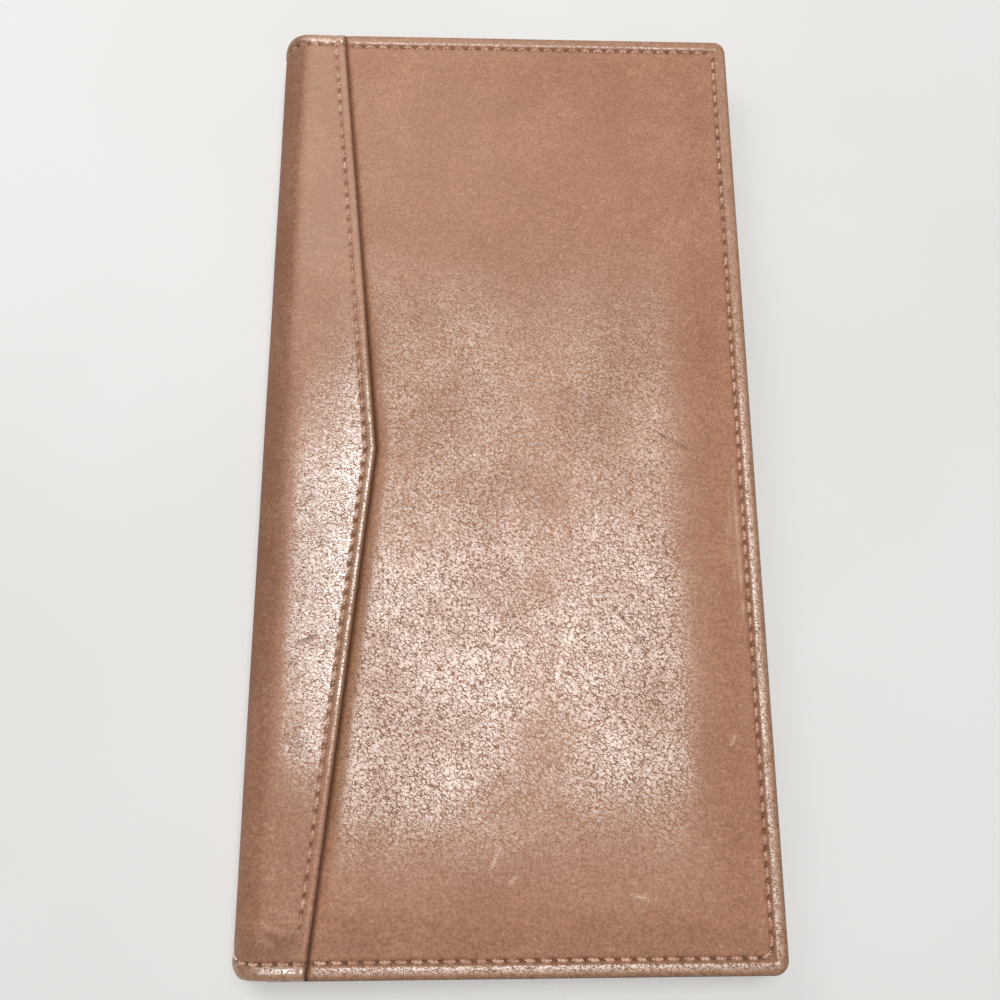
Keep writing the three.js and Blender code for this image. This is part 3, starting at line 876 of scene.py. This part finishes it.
def mark_points(marks):
    """Points along and beside the marks, close enough to carry them."""
    rows = [np.zeros((0, 2))]
    for start, end, _, _ in marks:
        line = run(start, end, round(math.dist(start, end) / MARK_STEP))
        across = np.array([start[1] - end[1], end[0] - start[0]])
        across = across / np.linalg.norm(across)
        rows += [line + across * side * MARK_WIDTH for side in (-2, -1, 0, 1, 2)]
    return np.concatenate(rows)


def mark_distance(points, start, end):
    """Distance of points from a mark, and how strong the mark is there."""
    start, end = np.array(start), np.array(end)
    t = np.clip((points - start) @ (end - start) / ((end - start) @ (end - start)), 0, 1)
    fade = np.sqrt(np.maximum(1 - (2 * t - 1) ** 2, 0))
    return np.linalg.norm(points - start - t[:, None] * (end - start), axis=1), fade


def uneven_polish(points, seed):
    """Large and small patches that handling has polished more or less."""
    return POLISH + swell(points, LARGE_PATCHES, seed + 7) + swell(points, SMALL_PATCHES, seed + 8)


def burnished(points, seed):
    """How much handling has polished a cover: most to the left below its centre, less in a band."""
    x, y = points.T
    across = 1 - RIGHT_LOSS * ramp(x, RIGHT_LOSS_RAMP) - hump(x, BAND_LOSS)
    across -= hump(x, LOW_BAND_LOSS) * ramp(-y, LOW_BAND_RAMP)
    fore_end = 1 - ramp(x, FORE_GLOSS_RAMP)
    low_end = ease((y - GLOSS_LOW_END - GLOSS_LOW_LEAN * (x - GLOSS_LEAN_X)) / GLOSS_LOW_FADE)
    down = 0.5 * (1 - ramp(y, HALF_GLOSS_RAMP)) + 0.5 * (1 - ramp(y, FULL_GLOSS_RAMP))
    spots = uneven_polish(points, seed)
    for spot_x, spot_y, radius, loss in DULL_SPOTS:
        spots *= 1 - loss * bell(np.hypot(x - spot_x, y - spot_y), radius)
    return np.clip(across * fore_end * low_end * down * spots, 0, 1)


def wrap_burnished(points, seed):
    """How much handling has polished the wrap: most beside its point, a little lower towards the roll."""
    x, y = points.T
    slant = WRAP_GLOSS_SLANT * (x - WRAP_GLOSS_SLANT_X)
    top_end = 1 - ease((y - WRAP_GLOSS_TOP - slant) / WRAP_GLOSS_TOP_FADE)
    low_end = ramp(y, WRAP_GLOSS_LOW_RAMP)
    rubbed = hump(np.hypot(x - RUBBED_X, y - RUBBED_Y), RUBBED_GAIN)
    return np.clip(top_end * low_end * uneven_polish(points, seed) + rubbed, 0, 1)


def edge_polish(inset, y):
    """How polished the rolled edge is: more along the lower half of the holder."""
    outside_seam = ease((SEAM_INSET - EDGE_GLOSS_FROM_SEAM - inset) / EDGE_GLOSS_FADE)
    return outside_seam * (EDGE_GLOSS + LOW_EDGE_GLOSS * (1 - ramp(y, LOW_EDGE_RAMP)))


def cover_points(marks):
    """Points inside a cover's outline, close together along its edge, beside the wrap and at its marks."""
    rows = [fore_run(inset, PANEL_SPINE_END)[1:-1] for inset in FACE_ROWS]
    end = LENGTH / 2 - BESIDE_WRAP_END
    y = np.arange(-end, end, BESIDE_WRAP_STEP)
    rows += [np.stack([wrap_edge(y) + offset, y], 1) for offset in BESIDE_WRAP_ROWS]
    grid = hexagonal((FACE_GRID_LEFT, -LENGTH / 2), (WIDTH / 2, LENGTH / 2), FACE_STEP)
    seen = grid[:, 0] > wrap_edge(grid[:, 1]) + SEEN_FROM_WRAP
    rows += [grid[seen & (edge_distance(grid) > FACE_GRID_INSET)]]
    hidden = hexagonal((HIDDEN_LEFT, -LENGTH / 2), (HIDDEN_RIGHT, LENGTH / 2), HIDDEN_STEP)
    covered = hidden[:, 0] < wrap_edge(hidden[:, 1]) - HIDDEN_FROM_WRAP
    rows += [hidden[covered & (edge_distance(hidden) > HIDDEN_GRID_INSET)]]
    rows += [mark_points(marks)]
    return np.concatenate(rows)


def padded_cover(side, marks, seed):
    """A cover's leather: padded face, sunken seam, rolled edge and the turned-in edge on its inside."""
    outline = cover_loop(0, PANEL_SPINE_END)
    inner = cover_points(marks)
    flat = np.concatenate([outline, inner])
    x, y = flat.T

    edge = edge_distance(flat)
    beside = x - wrap_edge(y)
    pad = 1 - ease((edge - SEAM_INSET) / (PAD_REACH - SEAM_INSET))
    step = np.exp(-np.clip(beside - WRAP_SLOPE_START, 0, None) / WRAP_SLOPE)
    depth = LEATHER * (1 - (1 - pad * EDGE_DEPTH / LEATHER) * (1 - step))
    depth += EDGE_ROLL * rolled(edge, ROLL_WIDTH) + GROOVE * bell(edge - SEAM_INSET, GROOVE_WIDTH)
    depth -= EDGE_CROWN * plateau(edge - CROWN_INSET, CROWN_WIDTH)
    holes = bell(nearest(flat, holes_of(panel_seam())), HOLE_WIDTH)
    depth += HOLE_DEPTH * holes
    depth += swell(flat, PAD_SWELL, seed) + swell(flat, PAD_RIPPLE, seed + 3)
    # Painted light: the upper part of the face is lighter, less so towards the fore edge
    tone = TOP_LIGHT * ramp(y, TOP_LIGHT_RAMP) * (1 - 0.5 * ramp(x, FORE_DIMMING_RAMP))
    # Painted shade on the outer rim of the rolled edge
    tone -= hump(edge, RIM_SHADE)
    uneven = np.clip(0.65 + 0.8 * waves(flat, MARK_BREAK_SIZE, seed + 2), 0, 1)
    shine = np.maximum(burnished(flat, seed), edge_polish(edge, y))
    for start, end, crease, shade in marks:
        distance, fade = mark_distance(flat, start, end)
        line = bell(distance, MARK_WIDTH) * fade * uneven
        depth += crease * line
        tone += shade * line
        shine = np.clip(shine + MARK_SHINE * max(shade, 0) * line, 0, 1)
    depth = np.where(beside < UNDER_WRAP, np.maximum(depth, LEATHER + WRAP_CLEARANCE), depth)
    # Painted shadow along the wrap's edge
    tone -= hump(beside, BESIDE_WRAP_SHADE)
    rough_edge = 0.6 + 0.5 * waves(flat, EDGE_BREAK_SIZE, seed + 5)
    wear = rough_edge * (hump(edge, EDGE_WEAR) + hump(edge, WIDE_WEAR))
    # Painted shade in the stitch holes and along the seam's groove
    tone -= HOLE_SHADE * holes + SEAM_SHADE * bell(edge - SEAM_INSET, SEAM_SHADE_WIDTH)
    # Painted shade towards the bottom of the face
    tone -= LOW_SHADE * ramp(-y, LOW_SHADE_RAMP)

    rings = []
    for inset, left, ring_depth in TURNED_EDGE:
        rings.append((cover_loop(inset, PANEL_SPINE_END + left), -ring_depth))
    points, faces = closed_plate(outline, inner, -depth, rings)
    points, faces = placed(points, faces, *OUTSIDE[side])
    piece = add_piece(f"{side}_leather", points, faces, COVER_LEATHER, wear=wear, tone=tone, burnish=shine)
    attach(piece, f"{side}_cover")
    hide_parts(f"{side}_panel", f"{side}_padding")


# Spine wrap: each half runs from the middle of the roll to the pointed edge on one cover


def roll_place(points, side):
    """Local points (s, y, h) of the front half, with s round the roll below 0, in the object's frame."""
    s, y, h = points.T
    angle = np.clip(-s / SPINE_RADIUS, 0, None)
    radius = SPINE_RADIUS + h
    x = np.where(s < 0, SPINE_X - radius * np.sin(angle), SPINE_X + s)
    z = np.where(s < 0, SPINE_RADIUS + radius * np.cos(angle), THICKNESS + h)
    return np.stack([x, y, z if side == "front" else THICKNESS - z], 1)


def bend(piece, side):
    """Bakes the placement of a piece of the wrap into its points, alike on either side."""
    if side == "front":
        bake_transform(piece)
    else:
        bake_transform(piece)


def facing(faces, side):
    """Faces made for the front cover, turned round for the back cover."""
    return faces if side == "front" else [face[::-1] for face in faces]


def wrap_grid():
    """Rows of points on half the wrap: s across it, y along it, and y before its ends are drawn in."""
    middle = np.arange(-LENGTH / 2 + WRAP_ROWS_START, LENGTH / 2 - WRAP_ROWS_END, WRAP_STEP)
    ends = LENGTH / 2 - WRAP_SHORTER - np.array(WRAP_END_ROWS)
    lines = np.concatenate([-ends, middle, ends[::-1]])
    roll = np.linspace(-SPINE_RADIUS * math.pi / 2, 0, ROLL_ROWS)[:-1]
    reach = wrap_edge(lines) - SPINE_X
    share = np.linspace(0, 1, FLAP_ROWS)[:-1]
    flat = share[:, None] * (reach - WRAP_FOLD_ROWS[0])
    fold = reach - np.array(WRAP_FOLD_ROWS)[:, None]
    s = np.concatenate([np.broadcast_to(roll[:, None], (len(roll), len(lines))), flat, fold])
    nominal = np.broadcast_to(lines, s.shape)
    pull = ease((np.abs(nominal) - HEAD_PULL_START) / (LENGTH / 2 - HEAD_PULL_START))
    y = nominal - np.sign(nominal) * head_end(s) * pull
    return s, y, nominal


def wrap_faces(rows, columns):
    """The faces of half the wrap: its grid, and the points under its lower, upper and folded edges."""
    index = np.arange(rows * columns).reshape(rows, columns).tolist()
    first = rows * columns
    low = list(range(first, first + rows))
    high = list(range(first + rows, first + 2 * rows))
    edge = [low[-1]] + list(range(first + 2 * rows, first + 2 * rows + columns - 2)) + [high[-1]]
    faces = []
    for i in range(rows - 1):
        here, after = index[i], index[i + 1]
        for j in range(columns - 1):
            faces.append([here[j], after[j], after[j + 1], here[j + 1]])
        faces.append([after[0], here[0], low[i], low[i + 1]])
        faces.append([here[-1], after[-1], high[i + 1], high[i]])
    for j in range(columns - 1):
        faces.append([index[-1][j + 1], index[-1][j], edge[j], edge[j + 1]])
    turn = ROLL_ROWS - 1
    for i in range(turn):
        faces.append([low[i + 1], low[i], high[i], high[i + 1]])
    faces.append(high[turn:-1] + edge[::-1] + low[turn:-1][::-1])
    faces.append(index[0] + [high[0], low[0]])
    return faces


def wrap_half(side, seed):
    """Half of the spine wrap: the roll, the flat flap, its folded pointed edge and its seams' grooves."""
    s, y, nominal = wrap_grid()
    rows, columns = s.shape
    flat = np.stack([s.ravel(), y.ravel()], 1)
    on_cover = flat + np.array([SPINE_X, 0])
    from_fold = wrap_edge(nominal[0]) - SPINE_X - s
    from_end = LENGTH / 2 - WRAP_SHORTER - np.abs(nominal)
    end_seam_inset = SEAM_INSET - WRAP_SHORTER

    depth = WRAP_ROUNDING * np.maximum(rolled(from_fold, WRAP_FOLD_WIDTH), rolled(from_end, WRAP_END_WIDTH))
    seam_part = ease((nominal + WRAP_SEAM_END + 2) / 4)
    depth = depth + hump(from_fold, WRAP_GROOVE) * seam_part
    depth += GROOVE * bell(from_end - end_seam_inset, GROOVE_WIDTH)
    depth -= hump(from_fold, WRAP_CROWN) + hump(from_end, END_CROWN)
    depth += WRAP_DIP * (1 - ease((from_fold - WRAP_SEAM_INSET) / WRAP_DIP_WIDTH))
    depth, from_fold, from_end = depth.ravel(), from_fold.ravel(), from_end.ravel()
    holes = bell(nearest(flat, holes_of(wrap_seam(), end_seam(1), end_seam(-1))), HOLE_WIDTH)
    depth += HOLE_DEPTH * holes
    # The wrinkles run slanted across the wrap and are stronger in some patches
    slanted = np.stack([flat[:, 0] * 0.5 - flat[:, 1], flat[:, 0] + flat[:, 1] * 0.35], 1)
    wrinkled = 0.4 + 0.6 * ease((waves(flat, WRINKLED_SIZE, seed + 9) + 0.1) / 0.5)
    wrinkles = swell(slanted * np.array([1.0, 0.35]), WRINKLES, seed) * wrinkled
    depth += wrinkles * ease(flat[:, 0] / WRINKLE_SPREAD + 1) + swell(flat, WRAP_SWELL, seed + 1)
    creases = np.zeros(len(flat))
    if side == "front":
        for start, end, crease, shade in WRAP_MARKS:
            distance, fade = mark_distance(on_cover, start, end)
            line = bell(distance, WRAP_MARK_WIDTH) * fade
            depth += crease * line
            creases += shade * line
    depth = np.clip(depth, -WRAP_MOST_RISE, LEATHER - WRAP_LEAST_SHEET)

    rough_edge = 0.6 + 0.6 * waves(flat, WRAP_BREAK_SIZE, seed + 5)
    round_roll = np.clip(-flat[:, 0] / ROLL_LENGTH, 0, 1)
    wear = hump(from_end, END_WEAR) + hump(from_fold, FOLD_WEAR)
    wear += (TIP_WEAR + ROLL_TIP_WEAR * round_roll) * bell(from_end, TIP_WEAR_WIDTH)
    wear = wear * rough_edge
    # Painted shade in the stitch holes and along the end seam's groove
    tone = -HOLE_SHADE * holes - SEAM_SHADE * bell(from_end - end_seam_inset, SEAM_SHADE_WIDTH)
    # Painted shade round the roll, weaker towards the lower end
    roll_painted_shade = ROLL_SHADE * ramp(-flat[:, 0], ROLL_SHADE_RAMP)
    tone -= roll_painted_shade * (1 - 0.5 * ease(-flat[:, 1] / ROLL_SHADE_LENGTH))
    # Marks, and painted shade on the wall of the folded edge
    tone += creases - hump(from_fold, FOLD_SHADE)
    # Painted light on the upper part of the wrap, off the roll
    tone += WRAP_TOP_LIGHT * ramp(flat[:, 1], WRAP_TOP_LIGHT_RAMP) * (1 - ease(round_roll * 6))
    if side == "front":
        stain = np.hypot((flat[:, 0] - STAIN_X) / STAIN_WIDTH, (flat[:, 1] - STAIN_Y) / STAIN_LENGTH)
        tone -= STAIN_SHADE * bell(stain, 1.0) * (0.7 + 0.6 * waves(flat, STAIN_BREAK_SIZE, 4.0))
    shine = wrap_burnished(on_cover, seed) * ramp(flat[:, 0], WRAP_GLOSS_ROLL_RAMP)
    shine = np.maximum(shine, edge_polish(from_end, flat[:, 1]))

    border = [(i, 0) for i in range(rows)] + [(i, columns - 1) for i in range(rows)]
    border += [(rows - 1, j) for j in range(1, columns - 1)]
    under = np.array([(s[i, j], y[i, j], -LEATHER) for i, j in border])
    points = roll_place(np.concatenate([np.column_stack([flat, -depth]), under]), side)
    faces = facing(wrap_faces(rows, columns), side)
    piece = add_piece(f"{side}_flap", points, faces, WRAP_LEATHER, wear=wear, tone=tone, burnish=shine)
    bend(piece, side)
    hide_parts(f"{side}_wrap", "spine_wrap")


def outer_stitches(side, seed):
    """The stitches that show on the outside of a cover and over the wrap's ends."""
    points, faces = twisted_stitches([panel_seam()], -EDGE_DEPTH - EDGE_STITCH_SINK, seed)
    piece = add_piece(f"{side}_edge_stitches", *placed(points, faces, *OUTSIDE[side]), THREAD)
    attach(piece, f"{side}_cover")
    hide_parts(f"{side}_edge_thread")
    points, faces = twisted_stitches([wrap_seam()], -WRAP_STITCH_SINK, seed + 1)
    piece = add_piece(f"{side}_wrap_stitches", roll_place(points, side), facing(faces, side), THREAD)
    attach(piece, f"{side}_cover")
    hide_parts(f"{side}_wrap_thread")
    points, faces = twisted_stitches([end_seam(1), end_seam(-1)], -WRAP_STITCH_SINK, seed + 2)
    piece = add_piece(f"{side}_end_stitches", roll_place(points, side), facing(faces, side), THREAD)
    bend(piece, side)
    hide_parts("spine_head_thread", "spine_tail_thread")


# Inside of the covers


def plate_points(loop_at, insets, grid):
    """A plate's outline, the points inside it, and how far in from its edge each point lies."""
    outline = loop_at(0)
    inner = np.concatenate([loop_at(inset) for inset in insets] + [grid])
    depths = [np.full(len(outline), inset) for inset in [0] + insets]
    return outline, inner, np.concatenate(depths + [np.full(len(grid), FAR_INSIDE)])


def leather_pocket(name, side, node, loop_at, seams, back, face, seed, mouth=None):
    """A pocket's leather, with rounded edges, pressed lines at its seams and a soft unevenness."""
    outside, inside = loop_at(0), loop_at(POCKET_GRID_INSET)
    grid = hexagonal(outside.min(0), outside.max(0), POCKET_GRID_STEP)
    keep = ((grid > inside.min(0)) & (grid < inside.max(0))).all(1)
    if mouth is not None:
        keep &= grid[:, 1] < mouth(grid[:, 0]) - POCKET_GRID_INSET
    outline, inner, inset = plate_points(loop_at, POCKET_ROWS, grid[keep])
    flat = np.concatenate([outline, inner])
    height = face - POCKET_ROUNDING * rolled(inset, POCKET_ROUND_WIDTH) + swell(flat, POCKET_SWELL, seed)
    height -= hump(inset, POCKET_LINE)
    height -= hump(nearest(flat, np.concatenate(seams)), SEAM_PRESS)
    wear = hump(inset, POCKET_WEAR) * (0.7 + 0.5 * waves(flat, WEAR_BREAK_SIZE, seed + 2))
    rings = [(outline, (back + face) / 2), (loop_at(POCKET_UNDER_INSET), back)]
    points, faces = closed_plate(outline, inner, height, rings)
    piece = add_piece(name, *placed(points, faces, *INSIDE[side]), POCKET_LEATHER, wear=wear)
    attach(piece, f"{side}_cover")
    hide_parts(node)


def inner_stitches(name, side, node, paths, crown, seed):
    """The stitches of a seam on the inside of a cover."""
    points, faces = twisted_stitches(paths, crown, seed)
    piece = add_piece(name, *placed(points, faces, *INSIDE[side]), THREAD)
    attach(piece, f"{side}_cover")
    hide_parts(node)


def long_pocket(side, name, seed):
    """The full-length pocket, open towards the spine, with its edge seam and its hem."""

    def loop_at(inset):
        return cover_loop(POCKET_INSET + inset, POCKET_MOUTH_X + inset)

    edge = fore_run(SEAM_INSET, POCKET_MOUTH_X + INNER_SEAM_FROM_MOUTH, SEAM_CORNER_RADIUS)
    y = LENGTH / 2 - SEAM_INSET - MOUTH_SEAM_FROM_EDGE_SEAM
    hem = np.array([(POCKET_MOUTH_X + MOUTH_SEAM_INSET, -y), (POCKET_MOUTH_X + MOUTH_SEAM_INSET, y)])
    seams = [edge, run(hem[0], hem[1], SPINE_STEPS * 2)]
    crown = POCKET_FACE - INNER_STITCH_SINK
    leather_pocket(f"{name}_leather", side, name, loop_at, seams, POCKET_DEPTH, POCKET_FACE, seed)
    inner_stitches(f"{side}_inner_stitches", side, f"{side}_inner_thread", [edge], crown, seed + 1)
    inner_stitches(f"{name}_hem_stitches", side, f"{name}_mouth_thread", [hem], crown, seed + 2)


def u_seam(left, right, bottom, top_left, top_right):
    """The seam down a sewn-on pocket's side, along its bottom and up the other side."""
    loop = pocket_loop(left, right, bottom, top_left, top_right, 0)
    mouth = np.interp(loop[:, 0], [left, right], [top_left, top_right])
    keep = (loop[:, 1] < mouth - SEAM_TOP_CLEARANCE) | (np.arange(len(loop)) == 0)
    return loop[keep]


def passport_pocket():
    """The passport pocket with its slanted mouth, sewn on the back cover's long pocket."""
    sides = (PASSPORT_LEFT, PASSPORT_RIGHT)
    tops = (PASSPORT_TOP_LEFT, PASSPORT_TOP_RIGHT)

    def loop_at(inset):
        return pocket_loop(*sides, PASSPORT_BOTTOM, *tops, inset)

    def mouth(x):
        return np.interp(x, sides, tops)

    d = PASSPORT_SEAM_INSET
    seam_tops = [top - SEAM_BELOW_MOUTH for top in tops]
    seam = u_seam(PASSPORT_LEFT + d, PASSPORT_RIGHT - d, PASSPORT_BOTTOM + d, *seam_tops)
    names = ("passport_pocket_leather", "back", "passport_pocket")
    leather_pocket(*names, loop_at, [seam], OVERLAY_DEPTH, OVERLAY_FACE, 31, mouth)
    crown = OVERLAY_FACE - INNER_STITCH_SINK
    inner_stitches("passport_pocket_stitches", "back", "passport_pocket_thread", [seam], crown, 41)


def card_slots():
    """The card strips, each tucked under the mouth of the next one, and the seam that holds them."""
    last_mouth = CARD_TOP - (CARD_COUNT - 1) * CARD_STEP
    bottom = last_mouth - CARD_LAST_HEIGHT
    for slot in range(CARD_COUNT):
        mouth = CARD_TOP - slot * CARD_STEP
        is_last = slot == CARD_COUNT - 1
        low = bottom if is_last else mouth - CARD_STEP - CARD_TUCK
        card_strip(slot, mouth, low)
    d = CARD_SEAM_INSET
    top = CARD_TOP - SEAM_BELOW_MOUTH
    seam = u_seam(CARD_LEFT + d, CARD_RIGHT - d, bottom + d, top, top)
    inner_stitches(
        "card_slot_stitches", "front", "card_slot_thread", [seam], OVERLAY_FACE - CARD_STITCH_SINK, 52
    )


def card_strip(slot, mouth, low):
    """One card slot's strip of leather, which rises from its tucked foot to its mouth."""
    rise = OVERLAY_FACE - OVERLAY_DEPTH - CARD_LEATHER + CARD_LIFT

    def loop_at(inset):
        return pocket_loop(CARD_LEFT, CARD_RIGHT, low, mouth, mouth, inset)

    def back(points):
        return OVERLAY_DEPTH + rise * np.clip((points[:, 1] - low) / (mouth - low), 0, 1)

    d = CARD_GRID_INSET
    grid = hexagonal((CARD_LEFT + d, low + d), (CARD_RIGHT - d, mouth - d), CARD_GRID_STEP)
    outline, inner, inset = plate_points(loop_at, CARD_ROWS, grid)
    flat = np.concatenate([outline, inner])
    from_mouth = mouth - flat[:, 1]
    height = back(flat) + CARD_LEATHER - CARD_ROUNDING * rolled(inset, CARD_ROUND_WIDTH)
    height -= hump(from_mouth, CARD_LINE)
    height += hump(from_mouth, CARD_LIP) + swell(flat, CARD_SWELL, 60 + slot)
    wear = hump(from_mouth, CARD_WEAR) * (0.7 + 0.5 * waves(flat, WEAR_BREAK_SIZE, 70 + slot))
    under = loop_at(CARD_UNDER_INSET)
    points, faces = closed_plate(outline, inner, height, [(under, back(under))])
    points, faces = placed(points, faces, *INSIDE["front"])
    piece = add_piece(f"card_strip_{slot + 1}", points, faces, POCKET_LEATHER, wear=wear)
    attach(piece, "front_cover")
    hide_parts(f"card_slot_{slot + 1}")


def cover_lining(side):
    """The lining cloth inside a cover, under its long pocket."""
    outline = cover_loop(LINING_INSET, LINING_LEFT)
    right, top = WIDTH / 2 - LINING_GRID_INSET, LENGTH / 2 - LINING_GRID_INSET
    inner = hexagonal((LINING_LEFT + 1, -top), (right, top), LINING_GRID_STEP)
    flat = np.concatenate([outline, inner])
    height = LINING_DEPTH + LINING + swell(flat, LINING_SWELL, 80)
    points, faces = closed_plate(outline, inner, height, [(outline, LINING_DEPTH)])
    piece = add_piece(f"{side}_lining_cloth", *placed(points, faces, *INSIDE[side]), LINING_CLOTH)
    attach(piece, f"{side}_cover")
    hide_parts(f"{side}_lining")


def spine_cloth_path():
    """The path of the spine's cloth as (x, z), from under a pocket to the middle of the roll, smoothed."""
    angle = np.radians(np.linspace(CLOTH_ROLL_START, CLOTH_ROLL_END, CLOTH_ROLL_POINTS))
    across, up = CLOTH_ROLL_RADIUS * np.sin(angle), CLOTH_ROLL_RADIUS * np.cos(angle)
    rough_path = np.concatenate([np.array(CLOTH_PATH), np.stack([SPINE_X - across, SPINE_RADIUS - up], 1)])
    reach = np.concatenate([[0], np.cumsum(np.linalg.norm(np.diff(rough_path, axis=0), axis=1))])
    even = np.linspace(0, reach[-1], CLOTH_ROWS)
    path = np.stack([np.interp(even, reach, rough_path[:, k]) for k in range(2)], 1)
    for _ in range(CLOTH_SMOOTHING):
        path[1:-1] = (path[:-2] + 2 * path[1:-1] + path[2:]) / 4
    return path


def cloth_faces(rows, columns):
    """The faces of a cloth made of two layers of points, with its four edges closed."""
    below, above = np.arange(2 * rows * columns).reshape(2, rows, columns).tolist()
    faces = []
    for i in range(rows - 1):
        for j in range(columns - 1):
            a, b = below[i][j], below[i][j + 1]
            c, d = below[i + 1][j + 1], below[i + 1][j]
            faces.append([a, d, c, b])
            faces.append([v + rows * columns for v in (a, b, c, d)])
        faces.append([below[i][0], above[i][0], above[i + 1][0], below[i + 1][0]])
        faces.append([below[i + 1][-1], above[i + 1][-1], above[i][-1], below[i][-1]])
    for j in range(columns - 1):
        faces.append([below[0][j + 1], above[0][j + 1], above[0][j], below[0][j]])
        faces.append([below[-1][j], above[-1][j], above[-1][j + 1], below[-1][j + 1]])
    return faces


def spine_lining(side):
    """The lining cloth that bridges from a cover to the middle of the spine."""
    path = spine_cloth_path()
    tangent = np.gradient(path, axis=0)
    across = np.stack([-tangent[:, 1], tangent[:, 0]], 1)
    across /= np.linalg.norm(across, axis=1)[:, None]
    half_length = LENGTH / 2 - LINING_INSET
    y = np.linspace(-half_length, half_length, CLOTH_COLUMNS)
    layers = []
    for offset in (-CLOTH_HALF_THICKNESS, CLOTH_HALF_THICKNESS):
        line = path + across * offset
        x, z = (np.repeat(line[:, k], len(y)) for k in range(2))
        layers.append(np.stack([x, np.tile(y, len(line)), z], 1))
    points = np.concatenate(layers)
    faces = cloth_faces(len(path), len(y))
    if side == "front":
        points[:, 2] = THICKNESS - points[:, 2]
        faces = [face[::-1] for face in faces]
    piece = add_piece(f"{side}_spine_cloth", points, faces, LINING_CLOTH)
    bend(piece, side)
    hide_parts("spine_lining")
    width, length = path_length(path), 2 * half_length


# All the pieces

for number, side in enumerate(("back", "front")):
    padded_cover(side, FRONT_MARKS if side == "front" else [], 3.0 + 11 * number)
    wrap_half(side, 5.0 + 13 * number)
    outer_stitches(side, 100 + 10 * number)
    cover_lining(side)
    spine_lining(side)
    board_mesh = bpy.data.objects[f"{side}_board"].data
    board_mesh.materials.clear()
    board_mesh.materials.append(BOARD)
long_pocket("back", "document_pocket", 21)
long_pocket("front", "ticket_pocket", 24)
passport_pocket()
card_slots()


# Floor, light and camera


def floor():
    """The pale floor that the holder lies on."""
    mesh = bpy.data.meshes.new("floor")
    half = FLOOR_HALF
    corners = [(-half, -half, 0), (half, -half, 0), (half, half, 0), (-half, half, 0)]
    mesh.from_pydata(corners, [], [[0, 1, 2, 3]])
    n = Nodes("pale_floor")
    tint = n.spread(n.speckle(n.place(), FLOOR_SCALE), 0.3, 0.7)
    n.finish(Base_Color=n.mix(tint, srgb(*FLOOR_DARK), srgb(*FLOOR_PALE)), Roughness=0.8)
    mesh.materials.append(n.material)
    piece = bpy.data.objects.new("floor", mesh)
    bpy.context.scene.collection.objects.link(piece)


def soft_box(name, place, target, size, watts):
    """A lamp with a wide bright face, turned to a target."""
    light = bpy.data.lights.new(name, "AREA")
    light.shape = "RECTANGLE"
    light.size, light.size_y = size
    light.energy = watts
    lamp = bpy.data.objects.new(name, light)
    lamp.location = place
    lamp.rotation_euler = (Vector(target) - Vector(place)).to_track_quat("-Z", "Y").to_euler()
    bpy.context.scene.collection.objects.link(lamp)


floor()
soft_box("overhead", OVERHEAD_PLACE, OVERHEAD_TARGET, OVERHEAD_SIZE, OVERHEAD_WATTS)
soft_box("upper_left", FILL_PLACE, FILL_TARGET, FILL_SIZE, FILL_WATTS)
world = bpy.data.worlds.new("room")
world.use_nodes = True
background = world.node_tree.nodes["Background"]
background.inputs["Color"].default_value = (1, 1, 1, 1)
background.inputs["Strength"].default_value = ROOM_LIGHT
bpy.context.scene.world = world

camera_data = bpy.data.cameras.new("camera")
camera_data.sensor_width = CAMERA_SENSOR
camera_data.lens = CAMERA_LENS
camera_data.clip_start = 0.01
camera = bpy.data.objects.new("camera", camera_data)
camera.location = [c * MM for c in CAMERA_PLACE]
camera.rotation_mode = "ZYX"
camera.rotation_euler = Euler([math.radians(a) for a in CAMERA_TURN], "ZYX")
bpy.context.scene.collection.objects.link(camera)
bpy.context.scene.camera = camera
bpy.context.scene.view_settings.view_transform = "Standard"
